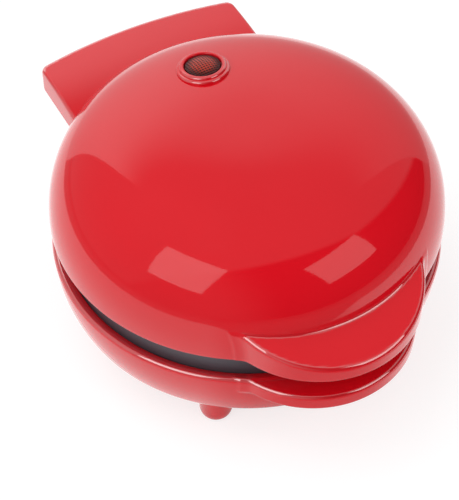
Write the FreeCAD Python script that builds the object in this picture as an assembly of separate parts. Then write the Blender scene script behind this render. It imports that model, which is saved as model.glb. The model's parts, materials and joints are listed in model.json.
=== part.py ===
import FreeCAD, Part
import math
import os

V = FreeCAD.Vector
UP = V(0, 0, 1)
DOWN = V(0, 0, -1)
ORIGIN = V(0, 0, 0)

# A small round waffle maker: domed lid on a bowl-shaped base, hinged at the rear.
# The body axis is x = y = 0 while modelling, the front is -Y and the floor is z = 0.

# Housing, mm
BODY_R = 76.2
WALL = 2.6
LIP_Z = 41.3
GAP = 12.3
EDGE_R = 1.2
OVERSHOOT = 1.0
NEAR = 0.01

# Lid dome: short upright rim, shoulder arc, then a crown arc that meets the axis
DOME_RISE = 42.9
RIM_WALL = 1.4
SHOULDER_R = 39.3

# Base bowl: side arc with an upright tangent at the lip, then the turn into the flat bottom
BOTTOM_Z = 8.0
BOWL_SIDE_R = 57.0
BOWL_TURN_R = 12.0
LIP_SHELF_W = 4.4
LIP_SHELF_T = 4.6
LIP_FALL = 1.2

# Visor handle of the lid and the matching front lip of the base
HANDLE_R = 35.0
HANDLE_OUT = 15.8
HANDLE_BLEND_R = 10.0
HANDLE_TIP_H = 12.5
HANDLE_FRONT_H = 5.8
HANDLE_DRAFT = 0.5
FRONT_LIP_T = 7.6
FRONT_LIP_UNDER_R = 2.2
FRONT_LIP_SINK = 1.0

# Hinge wing of the lid
WING_HALF_W = 43.2
WING_OUT = 24.3
WING_BOW = 5.5
WING_CORNER_R = 5.0
WING_TOP_H = 10.0
WING_SKIRT = 3.0

# Hinge
HINGE_BEHIND = 7.8
HINGE_DROP = 1.6
PIN_R = 3.25
PIN_WALL = 1.25
PIN_RUN = 0.05
PIN_PRESS = 0.02
PIN_GRIP = 14.0
KNUCKLE_WALL = 2.95
KNUCKLE_HALF_W = 30.0
KNUCKLE_GAP = 0.6
LUG_WALL = 3.15
LUG_W = 5.6
ARM_TOP_START = 200.0
ARM_TOP_SLOPE = 38.0
ARM_UNDER_START = 274.0
ARM_UNDER_SLOPE = 54.4
ARM_ROOT = 10.2

# Feet
FOOT_X = 38.5
FOOT_Y = 46.5
FOOT_R = 6.5
FOOT_TOP_R = 8.6
FOOT_PAD_R = 4.6
FOOT_PAD_T = 2.0
FOOT_PAD_PROUD = 0.6
FOOT_PAD_FIT = 0.1

# Plate rings
RING_GAP = 0.3
RING_RISE = 6.9
RING_LAND_W = 7.5
RING_WALL = 2.0
RING_SKIRT = 4.9
LEDGE_T = 2.5
LEDGE_W = 6.5
RING_SCREW_IN = 3.5
RING_SCREW_ANGLES = (30.0, 150.0, 270.0)
RING_BOSS_R = 4.0
RING_BOSS_L = 15.4
LID_RING_SKIRT = 2.4
LID_FLANGE_T = 2.0
LID_FLANGE_GAP = 0.3
LID_SCREW_IN = 4.0
LID_BOSS_R = 4.0

# Plates
PART_GAP = 0.6
PLATE_SIDE_GAP = 0.5
LAND_T = 4.0
CAVITY_DEPTH = 8.5
FLOOR_T = 4.0
TUB_WALL = 3.5
POST_PITCH = 11.5
POST_BASE = 8.2
POST_TOP = 5.6
POST_H = 5.0
POST_WALL_GAP = 1.5
POST_KEEP = 0.35

# Heart cavity: its room inside the ledge, then its lobes as shares of its own reach
HEART_MARGIN = 4.3
HEART_LOBE_ACROSS = 0.42
HEART_LOBE_UP = 0.26
HEART_TIP_R = 6.0

# Screws
SCREW_R = 1.75
SCREW_HEAD_R = 3.2
SCREW_HEAD_T = 2.2
SCREW_HEAD_TAPER = 0.75
SCREW_FIT = 0.05
SCREW_PASS = 0.2
COUNTERBORE_FIT = 0.3
HEAD_SINK = 5.0
RING_SCREW_BITE = 9.0
PLATE_SCREW_IN = 3.5
PLATE_SCREW_ANGLES = (90.0, 210.0, 330.0)
PLATE_SCREW_BITE = 3.0
LID_SCREW_LENGTH = 13.0
LID_HEAD_SINK = 2.2
SMALL_SCREW_R = 1.25
SMALL_HEAD_R = 2.4
SMALL_HEAD_T = 1.4
SMALL_BITE = 4.0

# Heating elements
ELEMENT_INSET = 15.5
ELEMENT_TUBE_R = 3.3
ELEMENT_SINK = 1.8
ELEMENT_FIT = 0.15
ELEMENT_GAP_ANGLE = 60.0
ELEMENT_BEND_R = 6.0
ELEMENT_LEG_PROUD = 4.0
ELEMENT_BOSS_W = 10.0
ELEMENT_BOSS_BACK_OFF = 14.0
SEAL_R = 2.6
SEAL_T = 2.0
TERMINAL_R = 1.2
TERMINAL_L = 4.0

# Clamp and heat shield of each plate
CENTRE_BOSS_R = 5.5
CLAMP_W = 12.0
CLAMP_T = 1.2
CLAMP_REACH = 3.0
CLAMP_SCREW_BITE = 6.0
SHIELD_EDGE_GAP = 2.0
SHIELD_T = 0.8
SHIELD_DROP = 7.4
SHIELD_RIM_H = 5.0
SHIELD_SEAT_R = 9.0
SHIELD_CONE_R = 13.0
SHIELD_HOLE_FIT = 1.5

# Thermostat and thermal fuse under the lower plate
THERMOSTAT_Y = 23.0
THERMOSTAT_R = 8.0
THERMOSTAT_CAP_R = 6.6
THERMOSTAT_CAP_T = 3.0
THERMOSTAT_BODY_T = 6.0
THERMOSTAT_TAB_L = 5.0
THERMOSTAT_TAB_W = 4.0
THERMOSTAT_TAB_T = 0.8
BRACKET_T = 1.0
BRACKET_W = 9.0
BRACKET_HALF_L = 15.0
BRACKET_POST_X = 12.0
BRACKET_POST_R = 2.6
FUSE_Y = -22.0
FUSE_SLEEVE_R = 2.6
FUSE_SLEEVE_L = 18.0
FUSE_WIRE_R = 0.5
FUSE_WIRE_L = 4.0
FUSE_FIT = 0.1
FUSE_CLIP_T = 0.8
FUSE_CLIP_W = 8.0
FUSE_CLIP_EAR = 7.0
FUSE_POST_H = 2.0

# Supply side
GLAND_Z = 19.0
GLAND_PAD_R = 9.0
GLAND_PAD_PROUD = 0.2
GLAND_R = 5.5
GLAND_FLANGE_R = 7.6
GLAND_FLANGE_T = 1.6
GLAND_LOCK_R = 6.6
GLAND_LOCK_T = 2.0
GLAND_BORE_R = 3.6
GLAND_FIT = 0.1
BLOCK_Y = 44.0
BLOCK_X = 20.0
BLOCK_D = 14.0
BLOCK_H = 9.0
BLOCK_FLOOR_T = 1.4
BLOCK_POCKET_R = 2.6
BLOCK_PITCH = 10.0
BLOCK_SCREW_SINK = 2.0
LEAD_R = 1.1
LEAD_GAP = 0.3
LEAD_TURN = 5.0
LEAD_BEND = 3.4
SLEEVE_R = 1.5
SLEEVE_HOLE_R = 1.8
SLEEVE_BEND = 1.6
SLEEVE_CLEAR = 2.5
SLEEVE_TAIL = 9.0
LID_LEAD_IN = 18.2
LID_LEAD_RISE = 4.4

# Indicator lamp
LAMP_Y = 35.5
COLLAR_R = 10.4
COLLAR_TOP_R = 8.9
COLLAR_RISE = 3.4
COLLAR_EDGE_R = 1.4
LENS_R = 7.3
LENS_FIT = 0.35
LENS_CROWN = 0.9
LENS_EDGE = 0.5
LENS_SEAT_DEPTH = 2.4
LENS_SKIRT_R = 5.6
LENS_SKIRT_WALL = 1.0
LENS_SKIRT_L = 9.0
LENS_HOLE_FIT = 0.15
HOLDER_WALL = 1.2
HOLDER_L = 13.0
HOLDER_FLANGE_R = 9.0
HOLDER_FLANGE_T = 1.2
NEON_R = 2.9
NEON_L = 9.0
NEON_DOME_R = 2.3
RESISTOR_R = 1.5
RESISTOR_L = 7.0
RESISTOR_EDGE_R = 0.5

# Base vents
VENT_COUNT = 8
VENT_R = 30.0
VENT_L = 14.0
VENT_W = 3.0

# Derived places: housing and hinge
RIM_Z = LIP_Z + GAP
INNER_R = BODY_R - WALL
FLOOR_Z = BOTTOM_Z + WALL
SHOULDER_X = BODY_R - SHOULDER_R
SHOULDER_Z = RIM_Z + RIM_WALL
CROWN_LIFT = DOME_RISE - RIM_WALL
CROWN_R = (SHOULDER_X**2 + CROWN_LIFT**2 - SHOULDER_R**2) / (2 * (CROWN_LIFT - SHOULDER_R))
CROWN_Z = RIM_Z + DOME_RISE - CROWN_R
HANDLE_REACH = BODY_R + HANDLE_OUT
HANDLE_Y = HANDLE_R - HANDLE_REACH
WING_REAR = BODY_R + WING_OUT
WING_TOP_Z = RIM_Z + WING_TOP_H
WING_BOTTOM_Z = RIM_Z - WING_SKIRT
HINGE_Y = BODY_R + HINGE_BEHIND
HINGE_Z = RIM_Z - HINGE_DROP
PIN_BORE_R = PIN_R - PIN_WALL
KNUCKLE_R = PIN_R + KNUCKLE_WALL
LUG_R = PIN_R + LUG_WALL
LUG_X = KNUCKLE_HALF_W + KNUCKLE_GAP
LUG_END_X = LUG_X + LUG_W
AXIS_Y = (HANDLE_REACH - WING_REAR) / 2

# Derived places: rings, plates and what hangs under them
RING_R = BODY_R - LIP_SHELF_W - RING_GAP
RING_TOP_IN_R = RING_R - RING_LAND_W
PLATE_R = RING_TOP_IN_R - PLATE_SIDE_GAP
LEDGE_IN_R = RING_TOP_IN_R - LEDGE_W
RING_SCREW_CIRCLE = LEDGE_IN_R + RING_SCREW_IN
PLATE_SCREW_CIRCLE = PLATE_R - PLATE_SCREW_IN
LID_SCREW_CIRCLE = RING_R - LID_SCREW_IN
PART_Z = LIP_Z + RING_RISE
LAND_Z = PART_Z - PART_GAP / 2
LID_LAND_Z = PART_Z + PART_GAP / 2
LEDGE_Z = LAND_Z - LAND_T
LEDGE_UNDER_Z = LEDGE_Z - LEDGE_T
RING_BOSS_END_Z = LEDGE_UNDER_Z - RING_BOSS_L
LID_BOSS_Z = RIM_Z + LID_RING_SKIRT
CAVITY_Z = LAND_Z - CAVITY_DEPTH
TUB_Z = CAVITY_Z - FLOOR_T
HEART_REACH = LEDGE_IN_R - TUB_WALL - HEART_MARGIN
HEART_LOBE_X = HEART_LOBE_ACROSS * HEART_REACH
HEART_LOBE_Y = HEART_LOBE_UP * HEART_REACH
HEART_LOBE_R = HEART_REACH - math.hypot(HEART_LOBE_X, HEART_LOBE_Y)
HEART_TIP_Y = HEART_TIP_R - HEART_REACH
ELEMENT_R = LEDGE_IN_R - ELEMENT_INSET
ELEMENT_Z = TUB_Z - ELEMENT_TUBE_R + ELEMENT_SINK
CLAMP_Z = ELEMENT_Z - ELEMENT_TUBE_R - CLAMP_T
SHIELD_R = LEDGE_IN_R - SHIELD_EDGE_GAP
SHIELD_Z = CLAMP_Z - SHIELD_DROP
ELEMENT_LEG_Z = SHIELD_Z - ELEMENT_LEG_PROUD
THERMOSTAT_CAP_Z = TUB_Z - THERMOSTAT_CAP_T
THERMOSTAT_Z = THERMOSTAT_CAP_Z - THERMOSTAT_BODY_T
THERMOSTAT_LEAD_X = THERMOSTAT_R + THERMOSTAT_TAB_L - LEAD_R
BRACKET_SEAT_Z = THERMOSTAT_CAP_Z + BRACKET_T
FUSE_Z = TUB_Z - FUSE_SLEEVE_R
FUSE_SEAT_Z = TUB_Z - FUSE_POST_H
FUSE_EAR_Y = FUSE_Y + FUSE_SLEEVE_R + FUSE_CLIP_EAR / 2

# Derived places: leads and lamp
BLOCK_FRONT_Y = BLOCK_Y - BLOCK_D / 2
BLOCK_REAR_Y = BLOCK_Y + BLOCK_D / 2
BLOCK_TOP_Z = FLOOR_Z + BLOCK_H
BLOCK_WIRE_Z = FLOOR_Z + BLOCK_FLOOR_T + LEAD_R
BLOCK_WELL_Z = BLOCK_TOP_Z - BLOCK_SCREW_SINK - SMALL_HEAD_T
HINGE_CENTRE = V(0, HINGE_Y, HINGE_Z)
SLEEVE_PASS = V(0, RING_R + SLEEVE_CLEAR, LIP_Z - RING_SKIRT)
SLEEVE_START = SLEEVE_PASS + (SLEEVE_PASS - HINGE_CENTRE).normalize() * SLEEVE_TAIL
LID_LEAD_START_X = LUG_END_X + LID_FLANGE_GAP
LID_LEAD_X = LID_LEAD_START_X + SLEEVE_BEND + LID_FLANGE_GAP
LID_LEAD_Y = BODY_R - LID_LEAD_IN
LID_LEAD_Z = RIM_Z + LID_LEAD_RISE


def polar(radius, degrees, z=0.0):
    angle = math.radians(degrees)
    return V(radius * math.cos(angle), radius * math.sin(angle), z)


def arc_between(start, end, centre, side):
    """Arc of a circle from start to end, on the side of the centre that the direction side points to."""
    radius = (start - centre).Length
    middle = (start + end) * 0.5 - centre
    if middle.Length < 1e-6:
        middle = V(side)
    if middle.dot(side) < 0:
        middle = middle * -1
    middle.normalize()
    return Part.Arc(start, centre + middle * radius, end).toShape()


def line(start, end):
    return Part.LineSegment(start, end).toShape()


def face_of(edges):
    return Part.Face(Part.Wire(edges))


def revolve_points(points):
    """Solid of revolution about Z of a closed outline given as (r, z) corners."""
    corners = [V(r, 0, z) for r, z in points]
    corners.append(corners[0])
    return Part.Face(Part.makePolygon(corners)).revolve(ORIGIN, UP, 360)


def cylinder(radius, z_low, z_high, x=0.0, y=0.0):
    return Part.makeCylinder(radius, z_high - z_low, V(x, y, z_low))


def cylinder_x(radius, x_low, x_high, y, z):
    return Part.makeCylinder(radius, x_high - x_low, V(x_low, y, z), V(1, 0, 0))


def cylinder_y(radius, y_low, y_high, x, z):
    return Part.makeCylinder(radius, y_high - y_low, V(x, y_low, z), V(0, 1, 0))


def box(x_low, x_high, y_low, y_high, z_low, z_high):
    return Part.makeBox(x_high - x_low, y_high - y_low, z_high - z_low, V(x_low, y_low, z_low))


def obround(length, width, z_low, z_high):
    """Slot shape along X with round ends, centred on the axis."""
    half = length / 2 - width / 2
    bar = box(-half, half, -width / 2, width / 2, z_low, z_high)
    ends = [cylinder(width / 2, z_low, z_high, x) for x in (-half, half)]
    return bar.multiFuse(ends).removeSplitter()


def turned(shape, degrees):
    copy = shape.copy()
    copy.rotate(ORIGIN, UP, degrees)
    return copy


def to_lid(shape):
    """Mirror image in the parting plane, for what the two halves have alike."""
    return shape.mirror(V(0, 0, PART_Z), UP)


def tube(points, radius, bend):
    """Round lead along straight runs joined by tangent arcs."""
    corners = [V(*p) for p in points]
    edges = []
    start = corners[0]
    for before, corner, after in zip(corners, corners[1:], corners[2:]):
        back = (before - corner).normalize()
        ahead = (after - corner).normalize()
        half = back.getAngle(ahead) / 2
        reach = bend / math.tan(half)
        enter = corner + back * reach
        leave = corner + ahead * reach
        middle = (back + ahead).normalize()
        crest = corner + middle * (bend / math.sin(half) - bend)
        edges.append(line(start, enter))
        edges.append(Part.Arc(enter, crest, leave).toShape())
        start = leave
    edges.append(line(start, corners[-1]))
    path = Part.Wire(edges)
    section = Part.Wire(Part.makeCircle(radius, corners[0], corners[1] - corners[0]))
    return path.makePipeShell([section], True, False)


def screw(x, y, seat_z, length, direction, shank_r=SCREW_R, head_r=SCREW_HEAD_R, head_t=SCREW_HEAD_T):
    """Pan-head screw whose head bears on seat_z and whose shank runs along direction."""
    shank = Part.makeCylinder(shank_r, length, V(x, y, seat_z), direction)
    head = Part.makeCone(head_r, head_r * SCREW_HEAD_TAPER, head_t, V(x, y, seat_z), direction * -1)
    return shank.fuse(head)


def dome_solid(inset, foot_z):
    """Dome of revolution, moved inwards by inset, with an upright wall down to foot_z."""
    outer_r = BODY_R - inset
    shoulder_centre = V(SHOULDER_X, 0, SHOULDER_Z)
    crown_centre = V(0, 0, CROWN_Z)
    towards = (shoulder_centre - crown_centre).normalize()
    join = crown_centre + towards * (CROWN_R - inset)
    top = V(0, 0, CROWN_Z + CROWN_R - inset)
    rim = V(outer_r, 0, SHOULDER_Z)
    edges = [
        line(V(0, 0, foot_z), V(outer_r, 0, foot_z)),
        line(V(outer_r, 0, foot_z), rim),
        arc_between(rim, join, shoulder_centre, V(1, 0, 1)),
        arc_between(join, top, crown_centre, UP),
        line(top, V(0, 0, foot_z)),
    ]
    return face_of(edges).revolve(ORIGIN, UP, 360)


def dome_radius(height):
    """Dome radius at a height above the rim."""
    return SHOULDER_X + math.sqrt(SHOULDER_R**2 - (height - RIM_WALL) ** 2)


def dome_height(radius):
    """Dome surface height over the crown, above the floor."""
    return CROWN_Z + math.sqrt(CROWN_R**2 - radius**2)


def bowl_centres():
    """Centres of the side arc and of the bottom turn, and the direction from one to the other."""
    side = V(BODY_R - BOWL_SIDE_R, 0, LIP_Z - EDGE_R)
    sine = (side.z - BOTTOM_Z - BOWL_TURN_R) / (BOWL_SIDE_R - BOWL_TURN_R)
    fall = V(math.sqrt(1 - sine**2), 0, -sine)
    return side, side + fall * (BOWL_SIDE_R - BOWL_TURN_R), fall


def bowl_radius(z, inset):
    """Radius of the bowl's wall at height z, moved inwards by inset."""
    side, turn, fall = bowl_centres()
    join_z = side.z + fall.z * (BOWL_SIDE_R - inset)
    centre, radius = (side, BOWL_SIDE_R) if z > join_z else (turn, BOWL_TURN_R)
    return centre.x + math.sqrt((radius - inset) ** 2 - (z - centre.z) ** 2)


def bowl_wall(inset, top_z):
    """Edges of the bowl's section from the axis along its bottom and up its side to top_z."""
    side, turn, fall = bowl_centres()
    axis = V(0, 0, BOTTOM_Z + inset)
    flat = V(turn.x, 0, axis.z)
    join = side + fall * (BOWL_SIDE_R - inset)
    end = V(bowl_radius(top_z, inset), 0, top_z)
    edges = [
        line(axis, flat),
        arc_between(flat, join, turn, V(1, 0, -2)),
        arc_between(join, end, side, V(1, 0, 0)),
    ]
    return axis, end, edges


def bowl_solid():
    """Solid bowl with a rounded lip."""
    edge_z = LIP_Z - EDGE_R
    axis, edge, edges = bowl_wall(0, edge_z)
    lip = V(BODY_R - EDGE_R, 0, LIP_Z)
    top = V(0, 0, LIP_Z)
    edges.append(arc_between(edge, lip, V(lip.x, 0, edge_z), V(1, 0, 1)))
    edges.append(line(lip, top))
    edges.append(line(top, axis))
    return face_of(edges).revolve(ORIGIN, UP, 360)


def bowl_room():
    """Space inside the bowl: inner wall, the bevel under the lip's shelf, and the lip's inward fall."""
    shelf_r = BODY_R - LIP_SHELF_W
    shelf_z = LIP_Z - LIP_FALL - LIP_SHELF_T
    axis, end, edges = bowl_wall(WALL, shelf_z - LIP_SHELF_W + WALL)
    corners = [
        end,
        V(shelf_r, 0, shelf_z),
        V(shelf_r, 0, LIP_Z - LIP_FALL),
        V(BODY_R - EDGE_R, 0, LIP_Z),
        V(BODY_R - EDGE_R, 0, HINGE_Z + KNUCKLE_R),
        V(0, 0, HINGE_Z + KNUCKLE_R),
        axis,
    ]
    edges.extend(line(start, stop) for start, stop in zip(corners, corners[1:]))
    return face_of(edges).revolve(ORIGIN, UP, 360)


def visor_wire(z, body_r, handle_r, blend_r):
    """Crescent outline: front arc, blended into the round body by a hollow arc at each tip."""
    centre = V(0, HANDLE_Y, z)
    far = body_r + blend_r
    near = handle_r + blend_r
    blend_y = (far**2 - near**2 + HANDLE_Y**2) / (2 * HANDLE_Y)
    blend_x = math.sqrt(far**2 - blend_y**2)
    edges = []
    tips = []
    for side in (-1, 1):
        blend = V(side * blend_x, blend_y, z)
        axis = V(0, 0, z)
        tip = axis + (blend - axis) * (body_r / far)
        meet = centre + (blend - centre) * (handle_r / near)
        edges.append(arc_between(tip, meet, blend, (tip + meet) * 0.5 - blend))
        tips.append((tip, meet))
    front = arc_between(tips[0][1], tips[1][1], centre, V(0, -1, 0))
    back = line(tips[1][0], tips[0][0])
    return Part.Wire(Part.__sortEdges__([edges[0], front, edges[1], back]))


def visor_handle():
    """Visor with a top that falls to the front and sides that lean in with the dome."""
    tip_z = RIM_Z + HANDLE_TIP_H + OVERSHOOT
    low = visor_wire(RIM_Z, BODY_R, HANDLE_R, HANDLE_BLEND_R)
    high_r = dome_radius(HANDLE_TIP_H + OVERSHOOT)
    high = visor_wire(tip_z, high_r, HANDLE_R - HANDLE_DRAFT, HANDLE_BLEND_R)
    block = Part.makeLoft([low, high], True, True)
    tip_y = -math.sqrt(BODY_R**2 - HANDLE_R**2)
    slope = (HANDLE_TIP_H - HANDLE_FRONT_H) / (tip_y + HANDLE_REACH)
    front_y = -HANDLE_REACH - OVERSHOOT
    back_y = tip_y / 2
    profile = [
        V(-BODY_R, front_y, RIM_Z),
        V(-BODY_R, back_y, RIM_Z),
        V(-BODY_R, back_y, RIM_Z + HANDLE_TIP_H + slope * (back_y - tip_y)),
        V(-BODY_R, front_y, RIM_Z + HANDLE_FRONT_H - slope * OVERSHOOT),
    ]
    profile.append(profile[0])
    wedge = Part.Face(Part.makePolygon(profile)).extrude(V(2 * BODY_R, 0, 0))
    handle = block.common(wedge)
    top = max(handle.Faces, key=lambda f: f.CenterOfMass.z)
    rim = [e for e in top.Edges if e.Curve.TypeId != "Part::GeomLine"]
    return handle.makeFillet(EDGE_R, rim)


def wing_face(inset, z):
    """Wing outline, moved inwards by inset, from inside the body to its bowed rear edge."""
    half = WING_HALF_W - inset
    corner_y = WING_REAR - WING_BOW
    bow_r = (WING_HALF_W**2 + WING_BOW**2) / (2 * WING_BOW)
    centre = V(0, WING_REAR - bow_r, z)
    rear_r = bow_r - inset
    rear_y = centre.y + math.sqrt(rear_r**2 - half**2)
    front_y = corner_y / 2
    left = V(-half, rear_y, z)
    right = V(half, rear_y, z)
    edges = [
        line(V(-half, front_y, z), V(half, front_y, z)),
        line(V(half, front_y, z), right),
        arc_between(right, left, centre, V(0, 1, 0)),
        line(left, V(-half, front_y, z)),
    ]
    return face_of(edges)


def wing_block(inset, z_low, z_high, corner_r):
    block = wing_face(inset, z_low).extrude(V(0, 0, z_high - z_low))
    half = WING_HALF_W - inset
    corners = []
    for edge in block.Edges:
        upright = abs(edge.tangentAt(edge.FirstParameter).z) > 1 - NEAR
        middle = edge.CenterOfMass
        if upright and abs(abs(middle.x) - half) < NEAR and middle.y > HINGE_Y:
            corners.append(edge)
    return block.makeFillet(corner_r, corners)


def hinge_wing():
    block = wing_block(0, WING_BOTTOM_Z, WING_TOP_Z, WING_CORNER_R)
    top = max(block.Faces, key=lambda f: f.CenterOfMass.z)
    rim = [e for e in top.Edges if e.CenterOfMass.y > WING_REAR / 2]
    block = block.makeFillet(EDGE_R, rim)
    return block.cut(cylinder(INNER_R, WING_BOTTOM_Z - OVERSHOOT, RIM_Z))


def hinge_lug(side):
    """Bearing lug under the wing's roof, beside the knuckle."""
    x_low = LUG_X if side > 0 else -LUG_END_X
    x_high = x_low + LUG_W
    barrel = cylinder_x(LUG_R, x_low, x_high, HINGE_Y, HINGE_Z)
    hanger = box(x_low, x_high, HINGE_Y - LUG_R, HINGE_Y + LUG_R, HINGE_Z, WING_TOP_Z - WALL)
    bore = cylinder_x(PIN_R + PIN_RUN, x_low - OVERSHOOT, x_high + OVERSHOOT, HINGE_Y, HINGE_Z)
    return barrel.fuse(hanger).cut(bore)


def lamp_collar():
    """Raised ring round the lamp, with a rounded top and a flared foot."""
    base_z = dome_height(LAMP_Y)
    top_z = base_z + COLLAR_RISE
    low_z = base_z - WALL
    body = Part.makeCone(COLLAR_R, COLLAR_TOP_R, top_z - low_z, V(0, LAMP_Y, low_z))
    top = [e for e in body.Edges if abs(e.CenterOfMass.z - top_z) < NEAR]
    return body.makeFillet(COLLAR_EDGE_R, top)


def lid_bosses():
    """Screw bosses inside the dome, each with a web to the wall."""
    inner = dome_solid(WALL, LIP_Z)
    bosses = []
    for angle in RING_SCREW_ANGLES:
        place = polar(LID_SCREW_CIRCLE, angle)
        boss = cylinder(LID_BOSS_R, LID_BOSS_Z, RIM_Z + DOME_RISE, place.x, place.y)
        web_top = RIM_Z + SHOULDER_R
        web = box(LID_SCREW_CIRCLE, BODY_R, -WALL / 2, WALL / 2, LID_BOSS_Z + WALL, web_top)
        bosses.append(boss.fuse(turned(web, angle)).common(inner))
    return bosses


def lid_cover():
    shell = dome_solid(0, RIM_Z).fuse(visor_handle())
    shell = shell.fuse(hinge_wing())
    shell = shell.fuse(lamp_collar())
    shell = shell.cut(dome_solid(WALL, WING_BOTTOM_Z - OVERSHOOT))
    pocket = wing_block(WALL, WING_BOTTOM_Z - OVERSHOOT, WING_TOP_Z - WALL, WING_CORNER_R - WALL)
    shell = shell.cut(pocket.cut(dome_solid(0, WING_BOTTOM_Z - 2 * OVERSHOOT)))
    for boss in lid_bosses():
        shell = shell.fuse(boss)
    for angle in RING_SCREW_ANGLES:
        place = polar(LID_SCREW_CIRCLE, angle)
        pilot_top = LID_BOSS_Z + LID_SCREW_LENGTH
        shell = shell.cut(cylinder(SCREW_R + SCREW_FIT, LID_BOSS_Z, pilot_top, place.x, place.y))
    for side in (-1, 1):
        shell = shell.fuse(hinge_lug(side))
    seat_z = lamp_seat_z()
    shell = shell.cut(cylinder(LENS_R + LENS_FIT, seat_z, seat_z + DOME_RISE, 0, LAMP_Y))
    shell = shell.cut(cylinder(LENS_SKIRT_R + LENS_HOLE_FIT, seat_z - LENS_SKIRT_L, seat_z, 0, LAMP_Y))
    lead_hole = cylinder_y(SLEEVE_HOLE_R, LID_LEAD_Y, BODY_R, LID_LEAD_X, LID_LEAD_Z)
    return shell.cut(lead_hole).removeSplitter()


def lamp_seat_z():
    return dome_height(LAMP_Y) + COLLAR_RISE - LENS_SEAT_DEPTH


def front_lip():
    """Front lip of the base: the handle's outline, its tips sunk in the bowl, with a rounded underside."""
    wire = visor_wire(LIP_Z - FRONT_LIP_T, BODY_R - FRONT_LIP_SINK, HANDLE_R, HANDLE_BLEND_R)
    lip = Part.Face(wire).extrude(V(0, 0, FRONT_LIP_T))
    curved = [e for e in lip.Edges if e.Curve.TypeId == "Part::GeomCircle"]
    lip = lip.makeFillet(EDGE_R, [e for e in curved if abs(e.CenterOfMass.z - LIP_Z) < NEAR])
    under = [e for e in lip.Edges if e.Curve.TypeId == "Part::GeomCircle"]
    under = [e for e in under if abs(e.CenterOfMass.z - LIP_Z + FRONT_LIP_T) < NEAR]
    return lip.makeFillet(FRONT_LIP_UNDER_R, under)


def hinge_knuckle():
    """Knuckle on an arm that rises from the rear lip, clear of the wing's swing."""
    barrel = cylinder_x(KNUCKLE_R, -KNUCKLE_HALF_W, KNUCKLE_HALF_W, HINGE_Y, HINGE_Z)
    root_y = BODY_R - ARM_ROOT
    profile = [(HINGE_Y, HINGE_Z)]
    edges = ((ARM_TOP_START, ARM_TOP_SLOPE, 1), (ARM_UNDER_START, ARM_UNDER_SLOPE, -1))
    for start, slope, order in edges:
        y = HINGE_Y + KNUCKLE_R * math.cos(math.radians(start))
        z = HINGE_Z + KNUCKLE_R * math.sin(math.radians(start))
        root = (root_y, z - (y - root_y) * math.tan(math.radians(slope)))
        profile.extend([(y, z), root][::order])
    corners = [V(-KNUCKLE_HALF_W, y, z) for y, z in profile]
    corners.append(corners[0])
    arm = Part.Face(Part.makePolygon(corners)).extrude(V(2 * KNUCKLE_HALF_W, 0, 0))
    return barrel.fuse(arm)


def foot_places():
    return [(x, y) for x in (-FOOT_X, FOOT_X) for y in (-FOOT_Y, FOOT_Y)]


def gland_pad():
    """Flat-faced boss through the rear wall, from inside the wall's foot to outside its bulge."""
    return cylinder_y(GLAND_PAD_R, gland_inner_y(), gland_outer_y(), 0, GLAND_Z)


def gland_inner_y():
    return bowl_radius(GLAND_Z - GLAND_LOCK_R, WALL) - GLAND_PAD_PROUD


def gland_outer_y():
    return bowl_radius(GLAND_Z + GLAND_PAD_R, 0) + GLAND_PAD_PROUD


def base_housing():
    shell = bowl_solid().fuse(front_lip())
    shell = shell.fuse(hinge_knuckle())
    for x, y in foot_places():
        foot = Part.makeCone(FOOT_R, FOOT_TOP_R, FLOOR_Z - FOOT_PAD_PROUD, V(x, y, FOOT_PAD_PROUD))
        shell = shell.fuse(foot)
    shell = shell.fuse(gland_pad()).cut(bowl_room().cut(gland_pad()))
    for x, y in foot_places():
        shell = shell.cut(cylinder(FOOT_PAD_R + FOOT_PAD_FIT, 0, FOOT_PAD_T, x, y))
    for angle in RING_SCREW_ANGLES:
        place = polar(RING_SCREW_CIRCLE, angle)
        shell = shell.fuse(cylinder(RING_BOSS_R, BOTTOM_Z + WALL / 2, RING_BOSS_END_Z, place.x, place.y))
        sink = cylinder(SCREW_HEAD_R + COUNTERBORE_FIT, 0, BOTTOM_Z + HEAD_SINK, place.x, place.y)
        passing = cylinder(SCREW_R + SCREW_PASS, 0, RING_BOSS_END_Z, place.x, place.y)
        shell = shell.cut(sink).cut(passing)
    shell = shell.cut(cylinder_y(GLAND_R + GLAND_FIT, gland_inner_y(), gland_outer_y(), 0, GLAND_Z))
    reach = KNUCKLE_HALF_W + OVERSHOOT
    shell = shell.cut(cylinder_x(PIN_R + PIN_PRESS, -reach, reach, HINGE_Y, HINGE_Z))
    way = SLEEVE_START - HINGE_CENTRE
    shell = shell.cut(Part.makeCylinder(SLEEVE_HOLE_R, way.Length, HINGE_CENTRE, way))
    slot = obround(VENT_L, VENT_W, BOTTOM_Z - OVERSHOOT, FLOOR_Z + OVERSHOOT)
    slot.translate(V(VENT_R, 0, 0))
    for index in range(VENT_COUNT):
        shell = shell.cut(turned(slot, (index + 0.5) * 360 / VENT_COUNT))
    return shell.removeSplitter()


def foot_pads():
    return Part.makeCompound([cylinder(FOOT_PAD_R, 0, FOOT_PAD_T, x, y) for x, y in foot_places()])


def ring_section(skirt_z):
    """Plate ring: inner ledge for the plate, flat land and outer band, open underneath."""
    wall_r = RING_TOP_IN_R + RING_WALL
    return revolve_points([
        (LEDGE_IN_R, LEDGE_UNDER_Z),
        (wall_r, LEDGE_UNDER_Z),
        (wall_r, LAND_Z - RING_WALL),
        (RING_R - RING_WALL, LAND_Z - RING_WALL),
        (RING_R - RING_WALL, skirt_z),
        (RING_R, skirt_z),
        (RING_R, LAND_Z),
        (RING_TOP_IN_R, LAND_Z),
        (RING_TOP_IN_R, LEDGE_Z),
        (LEDGE_IN_R, LEDGE_Z),
    ])


def plate_screw_holes(ring):
    for angle in PLATE_SCREW_ANGLES:
        place = polar(PLATE_SCREW_CIRCLE, angle)
        ring = ring.cut(cylinder(SCREW_R + SCREW_PASS, LEDGE_UNDER_Z, LEDGE_Z, place.x, place.y))
    return ring


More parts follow.
